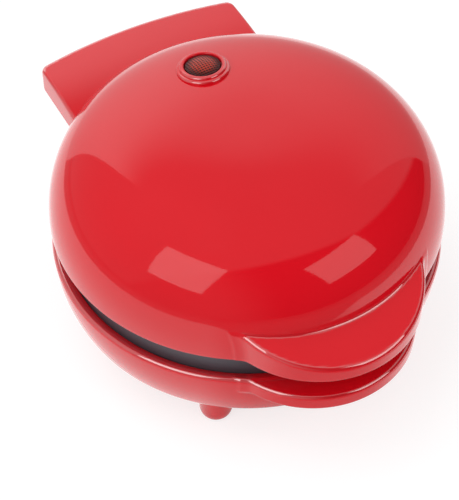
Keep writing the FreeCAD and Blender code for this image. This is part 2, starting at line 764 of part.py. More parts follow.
def base_plate_ring():
    ring = ring_section(LIP_Z - RING_SKIRT)
    for angle in RING_SCREW_ANGLES:
        place = polar(RING_SCREW_CIRCLE, angle)
        ring = ring.fuse(cylinder(RING_BOSS_R, RING_BOSS_END_Z, LEDGE_UNDER_Z, place.x, place.y))
        pilot_z = RING_BOSS_END_Z + RING_SCREW_BITE
        ring = ring.cut(cylinder(SCREW_R + SCREW_FIT, RING_BOSS_END_Z, pilot_z, place.x, place.y))
    return plate_screw_holes(ring).removeSplitter()


def lid_plate_ring():
    ring = to_lid(plate_screw_holes(ring_section(2 * PART_Z - LID_BOSS_Z)))
    flange_z = RIM_Z + LID_FLANGE_GAP
    flange = cylinder(INNER_R - LID_FLANGE_GAP, flange_z, flange_z + LID_FLANGE_T)
    ring = ring.fuse(flange.cut(cylinder(RING_R - RING_WALL / 2, flange_z, flange_z + LID_FLANGE_T)))
    for angle in RING_SCREW_ANGLES:
        place = polar(LID_SCREW_CIRCLE, angle)
        ring = ring.fuse(cylinder(LID_BOSS_R, LID_LAND_Z, LID_BOSS_Z, place.x, place.y))
        sink_z = LID_LAND_Z + LID_HEAD_SINK
        sink = cylinder(SCREW_HEAD_R + COUNTERBORE_FIT, LID_LAND_Z, sink_z, place.x, place.y)
        ring = ring.cut(sink).cut(cylinder(SCREW_R + SCREW_PASS, LID_LAND_Z, LID_BOSS_Z, place.x, place.y))
    return ring.removeSplitter()


def heart_face(offset, z):
    """Heart outline of a tip arc and two lobes, moved outwards by offset."""
    tip = V(0, HEART_TIP_Y, z)
    lobe = V(HEART_LOBE_X, HEART_LOBE_Y, z)
    span = lobe - tip
    tilt = math.acos((HEART_LOBE_R - HEART_TIP_R) / span.Length)
    direction = math.atan2(span.y, span.x) - tilt
    normal = V(math.cos(direction), math.sin(direction), 0)
    low = tip + normal * (HEART_TIP_R + offset)
    high = lobe + normal * (HEART_LOBE_R + offset)
    cleft_y = HEART_LOBE_Y + math.sqrt((HEART_LOBE_R + offset) ** 2 - HEART_LOBE_X**2)
    cleft = V(0, cleft_y, z)
    low_left = V(-low.x, low.y, z)
    high_left = V(-high.x, high.y, z)
    lobe_left = V(-lobe.x, lobe.y, z)
    edges = [
        arc_between(low_left, low, tip, V(0, -1, 0)),
        line(low, high),
        arc_between(high, cleft, lobe, V(1, 2, 0)),
        arc_between(cleft, high_left, lobe_left, V(-1, 2, 0)),
        line(high_left, low_left),
    ]
    return face_of(edges)


def waffle_post(x, y):
    wires = []
    for size, z in ((POST_BASE, CAVITY_Z), (POST_TOP, CAVITY_Z + POST_H)):
        half = size / 2
        signs = ((-1, -1), (1, -1), (1, 1), (-1, 1), (-1, -1))
        wires.append(Part.makePolygon([V(x + half * i, y + half * j, z) for i, j in signs]))
    return Part.makeLoft(wires, True, True)


def waffle_posts():
    """Square grid of tapered posts, trimmed by the heart's wall."""
    room = heart_face(-POST_WALL_GAP, CAVITY_Z).extrude(V(0, 0, POST_H))
    whole = waffle_post(0, 0).Volume
    count = int((HEART_LOBE_X + HEART_LOBE_R) / POST_PITCH) + 1
    posts = []
    for i in range(-count, count + 1):
        for j in range(-count, count + 1):
            post = waffle_post((i + 0.5) * POST_PITCH, (j + 0.5) * POST_PITCH).common(room)
            if post.Volume > POST_KEEP * whole:
                posts.extend(post.Solids)
    return posts


def cooking_plate():
    """Cast plate: round land, heart-shaped tub with the waffle grid, and the element's seat below."""
    plate = cylinder(PLATE_R, LEDGE_Z, LAND_Z)
    plate = plate.fuse(heart_face(TUB_WALL, TUB_Z).extrude(V(0, 0, LEDGE_Z - TUB_Z)))
    inner_r = ELEMENT_R - ELEMENT_BOSS_W / 2
    outer_r = ELEMENT_R + ELEMENT_BOSS_W / 2
    seat = Part.makePolygon([
        V(inner_r, 0, ELEMENT_Z),
        V(outer_r, 0, ELEMENT_Z),
        V(outer_r, 0, LEDGE_Z),
        V(inner_r, 0, LEDGE_Z),
        V(inner_r, 0, ELEMENT_Z),
    ])
    sweep = 360 - ELEMENT_GAP_ANGLE - 2 * ELEMENT_BOSS_BACK_OFF
    seat = Part.Face(seat).revolve(ORIGIN, UP, sweep)
    plate = plate.fuse(turned(seat, 90 + ELEMENT_GAP_ANGLE / 2 + ELEMENT_BOSS_BACK_OFF))
    plate = plate.cut(Part.makeTorus(ELEMENT_R, ELEMENT_TUBE_R + ELEMENT_FIT, V(0, 0, ELEMENT_Z)))
    plate = plate.cut(heart_face(0, CAVITY_Z).extrude(V(0, 0, CAVITY_DEPTH)))
    plate = plate.fuse(cylinder(CENTRE_BOSS_R, CLAMP_Z + CLAMP_T, TUB_Z))
    plate = plate.multiFuse(waffle_posts()).removeSplitter()
    bite_z = CLAMP_Z + CLAMP_T + CLAMP_SCREW_BITE
    plate = plate.cut(cylinder(SCREW_R + SCREW_FIT, CLAMP_Z, bite_z))
    pilot_z = LEDGE_Z + PLATE_SCREW_BITE
    for angle in PLATE_SCREW_ANGLES:
        place = polar(PLATE_SCREW_CIRCLE, angle)
        plate = plate.cut(cylinder(SCREW_R + SCREW_FIT, LEDGE_Z, pilot_z, place.x, place.y))
    return plate


def lower_plate():
    """Lower plate, with posts on its underside for the thermostat bracket and the fuse clip."""
    plate = cooking_plate()
    seats = [(x, THERMOSTAT_Y, BRACKET_SEAT_Z) for x in (-BRACKET_POST_X, BRACKET_POST_X)]
    seats.append((0, FUSE_EAR_Y, FUSE_SEAT_Z))
    plate = plate.multiFuse([cylinder(BRACKET_POST_R, z, TUB_Z, x, y) for x, y, z in seats])
    for x, y, z in seats:
        plate = plate.cut(cylinder(SMALL_SCREW_R + SCREW_FIT, z, z + SMALL_BITE, x, y))
    return plate.removeSplitter()


def element_ends():
    """Foot of each element leg, and the direction its bend takes in plan."""
    ends = []
    for side in (-1, 1):
        angle = 90 - side * ELEMENT_GAP_ANGLE / 2
        start = polar(ELEMENT_R, angle, ELEMENT_Z)
        tangent = V(-math.sin(math.radians(angle)), math.cos(math.radians(angle)), 0) * side
        ends.append((start, start + tangent * ELEMENT_BEND_R, tangent))
    return ends


def heating_element():
    """Tubular element: open loop whose two ends turn away from the plate."""
    left, right = element_ends()
    edges = []
    for start, foot, tangent in (left, right):
        elbow = foot + DOWN * ELEMENT_BEND_R
        centre = start + DOWN * ELEMENT_BEND_R
        edges.append(line(V(foot.x, foot.y, ELEMENT_LEG_Z), elbow))
        edges.append(arc_between(elbow, start, centre, tangent + UP))
    loop = Part.Arc(left[0], V(0, -ELEMENT_R, ELEMENT_Z), right[0]).toShape()
    path = Part.Wire([edges[0], edges[1], loop, edges[3], edges[2]])
    foot = left[1]
    section = Part.Wire(Part.makeCircle(ELEMENT_TUBE_R, V(foot.x, foot.y, ELEMENT_LEG_Z), UP))
    return path.makePipeShell([section], True, False)


def element_terminals():
    """Ceramic seal and terminal pin at each end of the element."""
    pins = []
    for start, foot, tangent in element_ends():
        seal = cylinder(SEAL_R, ELEMENT_LEG_Z - SEAL_T, ELEMENT_LEG_Z, foot.x, foot.y)
        pin_z = ELEMENT_LEG_Z - SEAL_T - TERMINAL_L
        pins.append(seal.fuse(cylinder(TERMINAL_R, pin_z, ELEMENT_LEG_Z - SEAL_T, foot.x, foot.y)))
    return Part.makeCompound(pins)


def element_clamp():
    length = 2 * (ELEMENT_R + ELEMENT_TUBE_R + CLAMP_REACH)
    strap = obround(length, CLAMP_W, CLAMP_Z, CLAMP_Z + CLAMP_T)
    return strap.cut(cylinder(SCREW_R + SCREW_PASS, CLAMP_Z, CLAMP_Z + CLAMP_T))


def heat_shield(lead_places):
    """Pressed pan: centre seat against the clamp, flat floor, upturned rim and holes for the wiring."""
    floor_top = SHIELD_Z + SHIELD_T
    pan = revolve_points([
        (0, CLAMP_Z - SHIELD_T),
        (SHIELD_SEAT_R - SHIELD_T, CLAMP_Z - SHIELD_T),
        (SHIELD_CONE_R - SHIELD_T, SHIELD_Z),
        (SHIELD_R, SHIELD_Z),
        (SHIELD_R, SHIELD_Z + SHIELD_RIM_H),
        (SHIELD_R - SHIELD_T, SHIELD_Z + SHIELD_RIM_H),
        (SHIELD_R - SHIELD_T, floor_top),
        (SHIELD_CONE_R, floor_top),
        (SHIELD_SEAT_R, CLAMP_Z),
        (0, CLAMP_Z),
    ])
    pan = pan.cut(cylinder(SCREW_R + SCREW_PASS, SHIELD_Z, CLAMP_Z))
    holes = [(foot.x, foot.y, ELEMENT_TUBE_R) for start, foot, tangent in element_ends()]
    holes.extend((x, y, LEAD_R) for x, y in lead_places)
    for x, y, radius in holes:
        pan = pan.cut(cylinder(radius + SHIELD_HOLE_FIT, SHIELD_Z, floor_top, x, y))
    return pan


def lower_heat_shield():
    return heat_shield([(x, THERMOSTAT_Y) for x in (-THERMOSTAT_LEAD_X, THERMOSTAT_LEAD_X)])


def clamp_screw():
    seat_z = CLAMP_Z - SHIELD_T
    return screw(0, 0, seat_z, CLAMP_T + SHIELD_T + CLAMP_SCREW_BITE - SCREW_FIT, UP)


def plate_screws():
    screws = []
    for angle in PLATE_SCREW_ANGLES:
        place = polar(PLATE_SCREW_CIRCLE, angle)
        screws.append(screw(place.x, place.y, LEDGE_UNDER_Z, LEDGE_T + PLATE_SCREW_BITE - SCREW_FIT, UP))
    return Part.makeCompound(screws)


def base_ring_screws():
    screws = []
    seat_z = BOTTOM_Z + HEAD_SINK
    length = RING_BOSS_END_Z + RING_SCREW_BITE - SCREW_FIT - seat_z
    for angle in RING_SCREW_ANGLES:
        place = polar(RING_SCREW_CIRCLE, angle)
        screws.append(screw(place.x, place.y, seat_z, length, UP))
    return Part.makeCompound(screws)


def lid_ring_screws():
    screws = []
    seat_z = LID_LAND_Z + LID_HEAD_SINK
    length = LID_BOSS_Z + LID_SCREW_LENGTH - SCREW_FIT - seat_z
    for angle in RING_SCREW_ANGLES:
        place = polar(LID_SCREW_CIRCLE, angle)
        screws.append(screw(place.x, place.y, seat_z, length, UP, head_t=LID_HEAD_SINK))
    return Part.makeCompound(screws)


def hinge_pins():
    pins = []
    inner_x = KNUCKLE_HALF_W - PIN_GRIP
    for low, high in ((-LUG_END_X, -inner_x), (inner_x, LUG_END_X)):
        pin = cylinder_x(PIN_R, low, high, HINGE_Y, HINGE_Z)
        pins.append(pin.cut(cylinder_x(PIN_BORE_R, low, high, HINGE_Y, HINGE_Z)))
    return Part.makeCompound(pins)


def thermostat():
    """Bimetal thermostat: cap against the plate, body and two terminal tabs."""
    part = cylinder(THERMOSTAT_CAP_R, THERMOSTAT_CAP_Z, TUB_Z, 0, THERMOSTAT_Y)
    part = part.fuse(cylinder(THERMOSTAT_R, THERMOSTAT_Z, THERMOSTAT_CAP_Z, 0, THERMOSTAT_Y))
    reach = THERMOSTAT_R + THERMOSTAT_TAB_L
    near_y = THERMOSTAT_Y - THERMOSTAT_TAB_W / 2
    far_y = THERMOSTAT_Y + THERMOSTAT_TAB_W / 2
    return part.fuse(box(-reach, reach, near_y, far_y, THERMOSTAT_Z, THERMOSTAT_Z + THERMOSTAT_TAB_T))


def thermostat_bracket():
    """Strap over the thermostat's shoulder, held by two screws."""
    low_z = BRACKET_SEAT_Z - BRACKET_T
    strap = obround(2 * BRACKET_HALF_L, BRACKET_W, low_z, BRACKET_SEAT_Z)
    strap.translate(V(0, THERMOSTAT_Y, 0))
    strap = strap.fuse(cylinder(THERMOSTAT_R, low_z, BRACKET_SEAT_Z, 0, THERMOSTAT_Y))
    strap = strap.cut(cylinder(THERMOSTAT_CAP_R + SCREW_PASS, low_z, BRACKET_SEAT_Z, 0, THERMOSTAT_Y))
    for x in (-BRACKET_POST_X, BRACKET_POST_X):
        strap = strap.cut(cylinder(SMALL_SCREW_R + SCREW_PASS, low_z, BRACKET_SEAT_Z, x, THERMOSTAT_Y))
    return strap.removeSplitter()


def small_screw(x, y, seat_z, bite):
    return screw(x, y, seat_z, bite - SCREW_FIT, UP, SMALL_SCREW_R, SMALL_HEAD_R, SMALL_HEAD_T)


def thermostat_screws():
    seat_z = BRACKET_SEAT_Z - BRACKET_T
    bite = BRACKET_T + SMALL_BITE
    places = (-BRACKET_POST_X, BRACKET_POST_X)
    return Part.makeCompound([small_screw(x, THERMOSTAT_Y, seat_z, bite) for x in places])


def thermal_fuse():
    """Fuse in its insulating sleeve, lying against the plate, with its two wire ends."""
    half = FUSE_SLEEVE_L / 2
    sleeve = cylinder_x(FUSE_SLEEVE_R, -half, half, FUSE_Y, FUSE_Z)
    return sleeve.fuse(cylinder_x(FUSE_WIRE_R, -half - FUSE_WIRE_L, half + FUSE_WIRE_L, FUSE_Y, FUSE_Z))


def fuse_clip():
    """Bent strip over the fuse with one screwed ear."""
    inner_r = FUSE_SLEEVE_R + FUSE_FIT
    outer_r = inner_r + FUSE_CLIP_T
    half = FUSE_CLIP_W / 2
    saddle = cylinder_x(outer_r, -half, half, FUSE_Y, FUSE_Z)
    saddle = saddle.cut(box(-half, half, FUSE_Y - outer_r, FUSE_Y + outer_r, FUSE_Z, FUSE_Z + outer_r))
    legs = box(-half, half, FUSE_Y - outer_r, FUSE_Y + outer_r, FUSE_Z, TUB_Z)
    clip = saddle.fuse(legs)
    clip = clip.cut(cylinder_x(inner_r, -half, half, FUSE_Y, FUSE_Z))
    clip = clip.cut(box(-half, half, FUSE_Y - inner_r, FUSE_Y + inner_r, FUSE_Z, TUB_Z))
    ear_z = FUSE_SEAT_Z - FUSE_CLIP_T
    clip = clip.fuse(box(-half, half, FUSE_Y + inner_r, FUSE_EAR_Y + half, ear_z, FUSE_SEAT_Z))
    hole = cylinder(SMALL_SCREW_R + SCREW_PASS, ear_z, FUSE_SEAT_Z, 0, FUSE_EAR_Y)
    return clip.cut(hole).removeSplitter()


def fuse_clip_screw():
    return small_screw(0, FUSE_EAR_Y, FUSE_SEAT_Z - FUSE_CLIP_T, FUSE_CLIP_T + SMALL_BITE)


def terminal_block():
    """Two-way ceramic block on the floor, with a wire way and a screw well for each pole."""
    block = box(-BLOCK_X / 2, BLOCK_X / 2, BLOCK_FRONT_Y, BLOCK_REAR_Y, FLOOR_Z, BLOCK_TOP_Z)
    for x in (-BLOCK_PITCH / 2, BLOCK_PITCH / 2):
        block = block.cut(cylinder_y(LEAD_R + SCREW_FIT, BLOCK_FRONT_Y, BLOCK_REAR_Y, x, BLOCK_WIRE_Z))
        block = block.cut(cylinder(BLOCK_POCKET_R, BLOCK_WELL_Z, BLOCK_TOP_Z, x, BLOCK_Y))
    return block


def terminal_screws():
    heads = []
    for x in (-BLOCK_PITCH / 2, BLOCK_PITCH / 2):
        heads.append(cylinder(SMALL_HEAD_R, BLOCK_WELL_Z, BLOCK_WELL_Z + SMALL_HEAD_T, x, BLOCK_Y))
    return Part.makeCompound(heads)


def cord_gland():
    """Flanged bush in the rear wall, open for the supply cord."""
    seat_y = gland_outer_y()
    face_y = seat_y + GLAND_FLANGE_T
    lock_y = gland_inner_y() - GLAND_LOCK_T
    bush = cylinder_y(GLAND_R, lock_y, face_y, 0, GLAND_Z)
    bush = bush.fuse(cylinder_y(GLAND_FLANGE_R, seat_y, face_y, 0, GLAND_Z))
    bush = bush.fuse(cylinder_y(GLAND_LOCK_R, lock_y, gland_inner_y(), 0, GLAND_Z))
    return bush.cut(cylinder_y(GLAND_BORE_R, lock_y, face_y, 0, GLAND_Z))


def base_leads():
    """Leads of the base: block to one element end, block to thermostat, thermostat to the other end."""
    left, right = [foot for start, foot, tangent in element_ends()]
    beside = TERMINAL_R + LEAD_R + LEAD_GAP
    half = BLOCK_PITCH / 2
    turn_y = BLOCK_FRONT_Y - LEAD_TURN
    inside_y = BLOCK_Y - SMALL_HEAD_R
    z = BLOCK_WIRE_Z
    routes = [
        [
            (-half, inside_y, z),
            (-half, turn_y, z),
            (left.x - beside, turn_y, z),
            (left.x - beside, left.y + LEAD_R, z),
        ],
        [
            (half, inside_y, z),
            (half, THERMOSTAT_Y, z),
            (-THERMOSTAT_LEAD_X, THERMOSTAT_Y, z),
            (-THERMOSTAT_LEAD_X, THERMOSTAT_Y, THERMOSTAT_Z),
        ],
        [
            (THERMOSTAT_LEAD_X, THERMOSTAT_Y, THERMOSTAT_Z),
            (THERMOSTAT_LEAD_X, THERMOSTAT_Y, z),
            (right.x + beside, right.y, z),
        ],
    ]
    return Part.makeCompound([tube(route, LEAD_R, LEAD_BEND) for route in routes])


def hinge_sleeve():
    """Sleeved leads from the base up the arm and out through the hollow pin."""
    route = [SLEEVE_START, HINGE_CENTRE, (LUG_END_X, HINGE_Y, HINGE_Z)]
    return tube(route, SLEEVE_R, SLEEVE_BEND)


def lid_lead():
    """Sleeved leads from the hinge pin forwards into the dome."""
    route = [
        (LID_LEAD_START_X, HINGE_Y, HINGE_Z),
        (LID_LEAD_X, HINGE_Y, HINGE_Z),
        (LID_LEAD_X, HINGE_Y, LID_LEAD_Z),
        (LID_LEAD_X, LID_LEAD_Y, LID_LEAD_Z),
    ]
    return tube(route, SLEEVE_R, SLEEVE_BEND)


def lamp_lens():
    """Lens with a low crown and a hollow skirt through the cover."""
    seat_z = lamp_seat_z()
    edge_z = seat_z + LENS_SEAT_DEPTH - LENS_EDGE
    crown_r = (LENS_R**2 + LENS_CROWN**2) / (2 * LENS_CROWN)
    top = V(0, 0, edge_z + LENS_CROWN)
    rim = V(LENS_R, 0, edge_z)
    edges = [
        line(V(0, 0, seat_z), V(LENS_R, 0, seat_z)),
        line(V(LENS_R, 0, seat_z), rim),
        arc_between(rim, top, V(0, 0, edge_z + LENS_CROWN - crown_r), UP),
        line(top, V(0, 0, seat_z)),
    ]
    head = face_of(edges).revolve(ORIGIN, UP, 360)
    skirt = cylinder(LENS_SKIRT_R, seat_z - LENS_SKIRT_L, seat_z)
    skirt = skirt.cut(cylinder(LENS_SKIRT_R - LENS_SKIRT_WALL, seat_z - LENS_SKIRT_L, seat_z))
    lens = head.fuse(skirt)
    lens.translate(V(0, LAMP_Y, 0))
    return lens


def lamp_holder():
    """Cup pushed onto the lens skirt from inside, with a closed end for the lamp."""
    top_z = holder_top_z()
    bore_r = LENS_SKIRT_R + LENS_FIT / 2
    cup = cylinder(bore_r + HOLDER_WALL, top_z - HOLDER_L, top_z, 0, LAMP_Y)
    cup = cup.fuse(cylinder(HOLDER_FLANGE_R, top_z - HOLDER_FLANGE_T, top_z, 0, LAMP_Y))
    return cup.cut(cylinder(bore_r, top_z - HOLDER_L + HOLDER_WALL, top_z, 0, LAMP_Y))


def holder_top_z():
    """Lowest point of the dome's inner face over the holder's flange, less a small gap."""
    return dome_height(LAMP_Y + HOLDER_FLANGE_R) - WALL - LENS_HOLE_FIT


def neon_lamp():
    """Small glass lamp standing in the holder."""
    low_z = holder_top_z() - HOLDER_L + HOLDER_WALL
    lamp = cylinder(NEON_R, low_z, low_z + NEON_L, 0, LAMP_Y)
    top = [e for e in lamp.Edges if abs(e.CenterOfMass.z - low_z - NEON_L) < NEAR]
    return lamp.makeFillet(NEON_DOME_R, top)


def lamp_resistor():
    """Series resistor under the holder's end."""
    z = holder_top_z() - HOLDER_L - RESISTOR_R
    body = cylinder_x(RESISTOR_R, -RESISTOR_L / 2, RESISTOR_L / 2, LAMP_Y, z)
    return body.makeFillet(RESISTOR_EDGE_R, [e for e in body.Edges if e.Closed])


NODES = {
    "base_housing": base_housing,
    "foot_pads": foot_pads,
    "base_plate_ring": base_plate_ring,
    "lower_plate": lower_plate,
    "lower_heating_element": heating_element,
    "lower_element_terminals": element_terminals,
    "lower_element_clamp": element_clamp,
    "lower_heat_shield": lower_heat_shield,
    "lower_clamp_screw": clamp_screw,
    "lower_plate_screws": plate_screws,
    "base_ring_screws": base_ring_screws,
    "thermostat": thermostat,
    "thermostat_bracket": thermostat_bracket,
    "thermostat_screws": thermostat_screws,
    "thermal_fuse": thermal_fuse,
    "fuse_clip": fuse_clip,
    "fuse_clip_screw": fuse_clip_screw,
    "terminal_block": terminal_block,
    "terminal_screws": terminal_screws,
    "cord_gland": cord_gland,
    "base_leads": base_leads,
    "hinge_sleeve": hinge_sleeve,
    "hinge_pins": hinge_pins,
    "lid_cover": lid_cover,
    "lid_plate_ring": lid_plate_ring,
    "upper_plate": lambda: to_lid(cooking_plate()),
    "upper_heating_element": lambda: to_lid(heating_element()),
    "upper_element_terminals": lambda: to_lid(element_terminals()),
    "upper_element_clamp": lambda: to_lid(element_clamp()),
    "upper_heat_shield": lambda: to_lid(heat_shield([])),
    "upper_clamp_screw": lambda: to_lid(clamp_screw()),
    "upper_plate_screws": lambda: to_lid(plate_screws()),
    "lid_ring_screws": lid_ring_screws,
    "lid_lead": lid_lead,
    "lamp_lens": lamp_lens,
    "lamp_holder": lamp_holder,
    "neon_lamp": neon_lamp,
    "lamp_resistor": lamp_resistor,
}


def main():
    os.makedirs("parts", exist_ok=True)
    for name, make in NODES.items():
        shape = make()
        shape.translate(V(0, AXIS_Y, 0))
        shape.exportStep(f"parts/{name}.step")


if __name__ == "__main__":
    main()
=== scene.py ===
import json
import math

import bmesh
import bpy
import numpy as np
from mathutils import Matrix, Vector


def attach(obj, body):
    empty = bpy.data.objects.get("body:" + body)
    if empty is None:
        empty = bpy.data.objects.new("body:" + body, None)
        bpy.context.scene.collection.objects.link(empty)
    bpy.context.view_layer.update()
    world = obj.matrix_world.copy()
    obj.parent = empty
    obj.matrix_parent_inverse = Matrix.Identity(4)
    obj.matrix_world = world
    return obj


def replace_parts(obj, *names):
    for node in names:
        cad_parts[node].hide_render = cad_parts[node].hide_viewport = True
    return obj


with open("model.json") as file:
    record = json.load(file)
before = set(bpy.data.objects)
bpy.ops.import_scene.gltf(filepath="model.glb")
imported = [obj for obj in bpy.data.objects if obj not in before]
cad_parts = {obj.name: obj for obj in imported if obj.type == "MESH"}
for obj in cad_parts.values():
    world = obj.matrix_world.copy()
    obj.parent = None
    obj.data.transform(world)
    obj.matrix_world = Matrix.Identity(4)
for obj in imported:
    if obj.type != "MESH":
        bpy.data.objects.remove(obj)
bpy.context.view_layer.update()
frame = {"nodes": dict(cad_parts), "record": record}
nodes = frame["nodes"]
print("frame loaded,", len(nodes), "nodes")

mm = 0.001
axisY = -4.25  # the dome's axis in the frame, mm
halvings = 30  # steps of each search by halving
quarter = np.pi / 2

# sizes that lid and base share, mm, about the dome's own axis
body = dict(radius=76.2, wall=2.6, rimZ=53.6, lipZ=41.3, middle=20.0)
hinge = dict(y=84.0, z=52.0)


def linkObject(name, data):
    # a new object in the scene, at the origin
    obj = bpy.data.objects.new(name, data)
    bpy.context.scene.collection.objects.link(obj)
    return obj


def gridFaces(nu, nv, wrapU, wrapV):
    # quads between neighbouring points of a grid, closed in the directions that wrap
    i = np.arange(nu if wrapU else nu - 1)[:, None]
    j = np.arange(nv if wrapV else nv - 1)[None, :]
    k, m = (i + 1) % nu, (j + 1) % nv
    return np.stack([i * nv + j, k * nv + j, k * nv + m, i * nv + m], -1).reshape(-1, 4)


def fanFaces(nu, nv, row, pole):
    # triangles from a pole to one row of the grid
    i = np.arange(nu)
    return np.stack([np.full(nu, pole), i * nv + row, (i + 1) % nu * nv + row], -1)


def makePiece(name, points, bodyName, slotName="red_gloss", sharp=35.0, poles=None, paintedSheen=None):
    # a grid of points in mm, closed round its first direction, and along the second by a wrap or by
    # two poles
    nu, nv = points.shape[:2]
    verts = points.reshape(-1, 3)
    quads = gridFaces(nu, nv, True, poles is None)
    fans = np.zeros((0, 3), int)
    if poles is not None:
        verts = np.concatenate([verts, poles])
        quads = quads[:, ::-1]
        ends = fanFaces(nu, nv, 0, nu * nv), fanFaces(nu, nv, nv - 1, nu * nv + 1)[:, ::-1]
        fans = np.concatenate(ends)
    verts = verts * mm + np.array([0.0, axisY * mm, 0.0])
    triangles = np.concatenate([quads[:, :3], quads[:, [0, 2, 3]], fans])
    a, b, c = verts[triangles].transpose(1, 0, 2)
    if np.einsum("ij,ij->", a, np.cross(b, c)) < 0:  # turn the faces outwards
        quads, fans = quads[:, ::-1], fans[:, ::-1]
    mesh = bpy.data.meshes.new(name)
    mesh.from_pydata(verts.tolist(), [], quads.tolist() + fans.tolist())
    mesh.shade_smooth()
    mesh.set_sharp_from_angle(angle=math.radians(sharp))
    if paintedSheen is not None:  # painted highlight: how strongly each point takes the clear coat that brightens the lamps' reflections, nothing at the poles
        values = np.zeros(len(verts), np.float32)
        values[:nu * nv] = paintedSheen.ravel()
        mesh.attributes.new("paintedSheen", "FLOAT", "POINT").data.foreach_set("value", values)
    mesh.materials.append(slotMaterials[slotName])
    obj = linkObject(name, mesh)
    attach(obj, bodyName)
    return obj


def roundTurn(turns):
    # even angles once round, as a column
    return np.linspace(0, 2 * np.pi, turns, endpoint=False)[:, None]


def lathe(profile, turns, centre=(0.0, 0.0)):
    # each point (r, z) of the profile goes round the vertical line through the centre
    r, z = np.array(profile, float).T
    t = roundTurn(turns)
    x = centre[0] + np.cos(t) * r
    y = centre[1] + np.sin(t) * r
    return np.stack([x, y, np.broadcast_to(z, x.shape)], -1)


def smoothStep(low, high, value):
    # 0 up to low, 1 from high on, three squares less two cubes of the share between
    t = np.clip((value - low) / (high - low), 0, 1)
    return t * t * (3 - 2 * t)


def roundUnion(a, b, k):
    # distance to two shapes joined, with a fillet of radius k in the corner between them
    u, v = np.maximum(k - a, 0), np.maximum(k - b, 0)
    return np.maximum(k, np.minimum(a, b)) - np.hypot(u, v)


def roundCut(a, b, k):
    # distance to what two shapes share, with its edge rounded to radius k
    u, v = np.maximum(k + a, 0), np.maximum(k + b, 0)
    return np.minimum(-k, np.maximum(a, b)) + np.hypot(u, v)


visorArc = dict(radius=40.0, blendR=10.0, hollowDepth=2.0, runOut=0.6)


def visorPlan(x, y, radius, discY):
    # distance to the visor's outline: a circle, with hollow arcs that run out along the body's circle
    blend = visorArc["blendR"]
    reach, near = radius + blend, visorArc["radius"] + blend
    cy = (reach ** 2 - near ** 2 + discY ** 2) / (2 * discY)
    cx = np.sqrt(np.maximum(reach ** 2 - cy ** 2, 0))
    ax = np.abs(x)
    disc = np.hypot(x, y - discY) - visorArc["radius"]
    hollow = np.maximum(blend - np.hypot(ax - cx, y - cy), -visorArc["hollowDepth"])
    past = np.maximum((y * cx - ax * cy) / reach, 0)  # beyond the line from the body's axis
    before = np.maximum((ax * (cy - discY) - (y - discY) * cx) / near, 0)  # short of the disc's line
    return np.minimum(disc, hollow + visorArc["runOut"] * (past + before))


def skin(gap, theta, phi, ringR, ringZ, far=90.0):
    # along each ray from a ring inside the solid, the point where the distance changes sign
    c, s = np.cos(theta)[:, None], np.sin(theta)[:, None]
    dr, dz = np.cos(phi)[None, :], np.sin(phi)[None, :]
    low = np.zeros((theta.size, phi.size))
    high = np.full_like(low, far)
    for _ in range(halvings):
        mid = (low + high) / 2
        r = ringR + dr * mid
        outside = gap(r * c, r * s, ringZ + dz * mid) > 0
        high = np.where(outside, mid, high)
        low = np.where(outside, low, mid)
    return ringR + dr * low, ringZ + dz * low


def evenOut(r, z, count, bendLength, endZ=None, mostTurn=0.5):
    # points along each section, even by its length plus its turning, down to a height or to its end
    dr, dz = np.diff(r, axis=1), np.diff(z, axis=1)
    turn = np.abs(np.diff(np.unwrap(np.arctan2(dz, dr), axis=1), axis=1))
    turn = np.pad(turn, ((0, 0), (1, 0)))
    run = np.cumsum(np.hypot(dr, dz) + bendLength * np.minimum(turn, mostTurn), axis=1)
    run = np.pad(run, ((0, 0), (1, 0)))
    end = run[:, -1]
    if endZ is not None:  # the last step that passes the height
        row = np.arange(len(z))
        k = z.shape[1] - 1 - np.argmax((z > endZ[:, None])[:, ::-1], axis=1)
        share = (z[row, k] - endZ) / (z[row, k] - z[row, k + 1])
        end = run[row, k] + share * (run[row, k + 1] - run[row, k])
    lay = np.arange(len(r))[:, None] * (run.max() + 1)  # lays the sections end to end
    at = end[:, None] * np.linspace(0, 1, count) + lay
    along = (run + lay).ravel()
    return np.interp(at, along, r.ravel()), np.interp(at, along, z.ravel())


paintedSheenLimits = dict(bendFrom=0.10, bendFull=0.34, upFrom=0.8, upFull=1.2, shortest=0.02)


def paintedEdgeSheen(r, z, front):
    # painted highlight: 1 where a section turns over an edge that faces up, by its turning for each mm;
    # hollows count only in front. A clear coat goes there so that the lamps' reflections show as bright
    # lines
    dr, dz = np.diff(r, axis=1), np.diff(z, axis=1)
    length = np.maximum(np.hypot(dr, dz), 1e-6)
    turn = -np.diff(np.unwrap(np.arctan2(dz, dr), axis=1), axis=1)
    bend = turn / np.maximum((length[:, 1:] + length[:, :-1]) / 2, paintedSheenLimits["shortest"])
    up = (dr / length)[:, 1:] + (dr / length)[:, :-1]
    edges, hollows = (smoothStep(paintedSheenLimits["bendFrom"], paintedSheenLimits["bendFull"], v) for v in (bend, -bend))
    paintedSheenWeight = np.maximum(edges, front * hollows) * smoothStep(paintedSheenLimits["upFrom"], paintedSheenLimits["upFull"], up)
    return np.pad(paintedSheenWeight, ((0, 0), (1, 1)), mode="edge")


def denseAngles(count, places, samples=4001):
    # angles spaced by a density of one plus a bell at each place: its angle, width and height
    t = np.linspace(-np.pi, np.pi, samples)
    density = np.ones_like(t)
    for angle, width, extra in places:
        density += extra * np.exp(-((t - math.radians(angle)) / math.radians(width)) ** 2)
    total = np.concatenate([[0], np.cumsum((density[1:] + density[:-1]) / 2)])
    return np.interp(np.linspace(0, total[-1], count, endpoint=False), total, t)


def fill(tree, node, sockets):
    # each socket takes another node's output as a link, or a constant
    for key, value in sockets.items():
        if isinstance(value, bpy.types.NodeSocket):
            tree.links.new(value, node.inputs[key])
        else:
            node.inputs[key].default_value = value


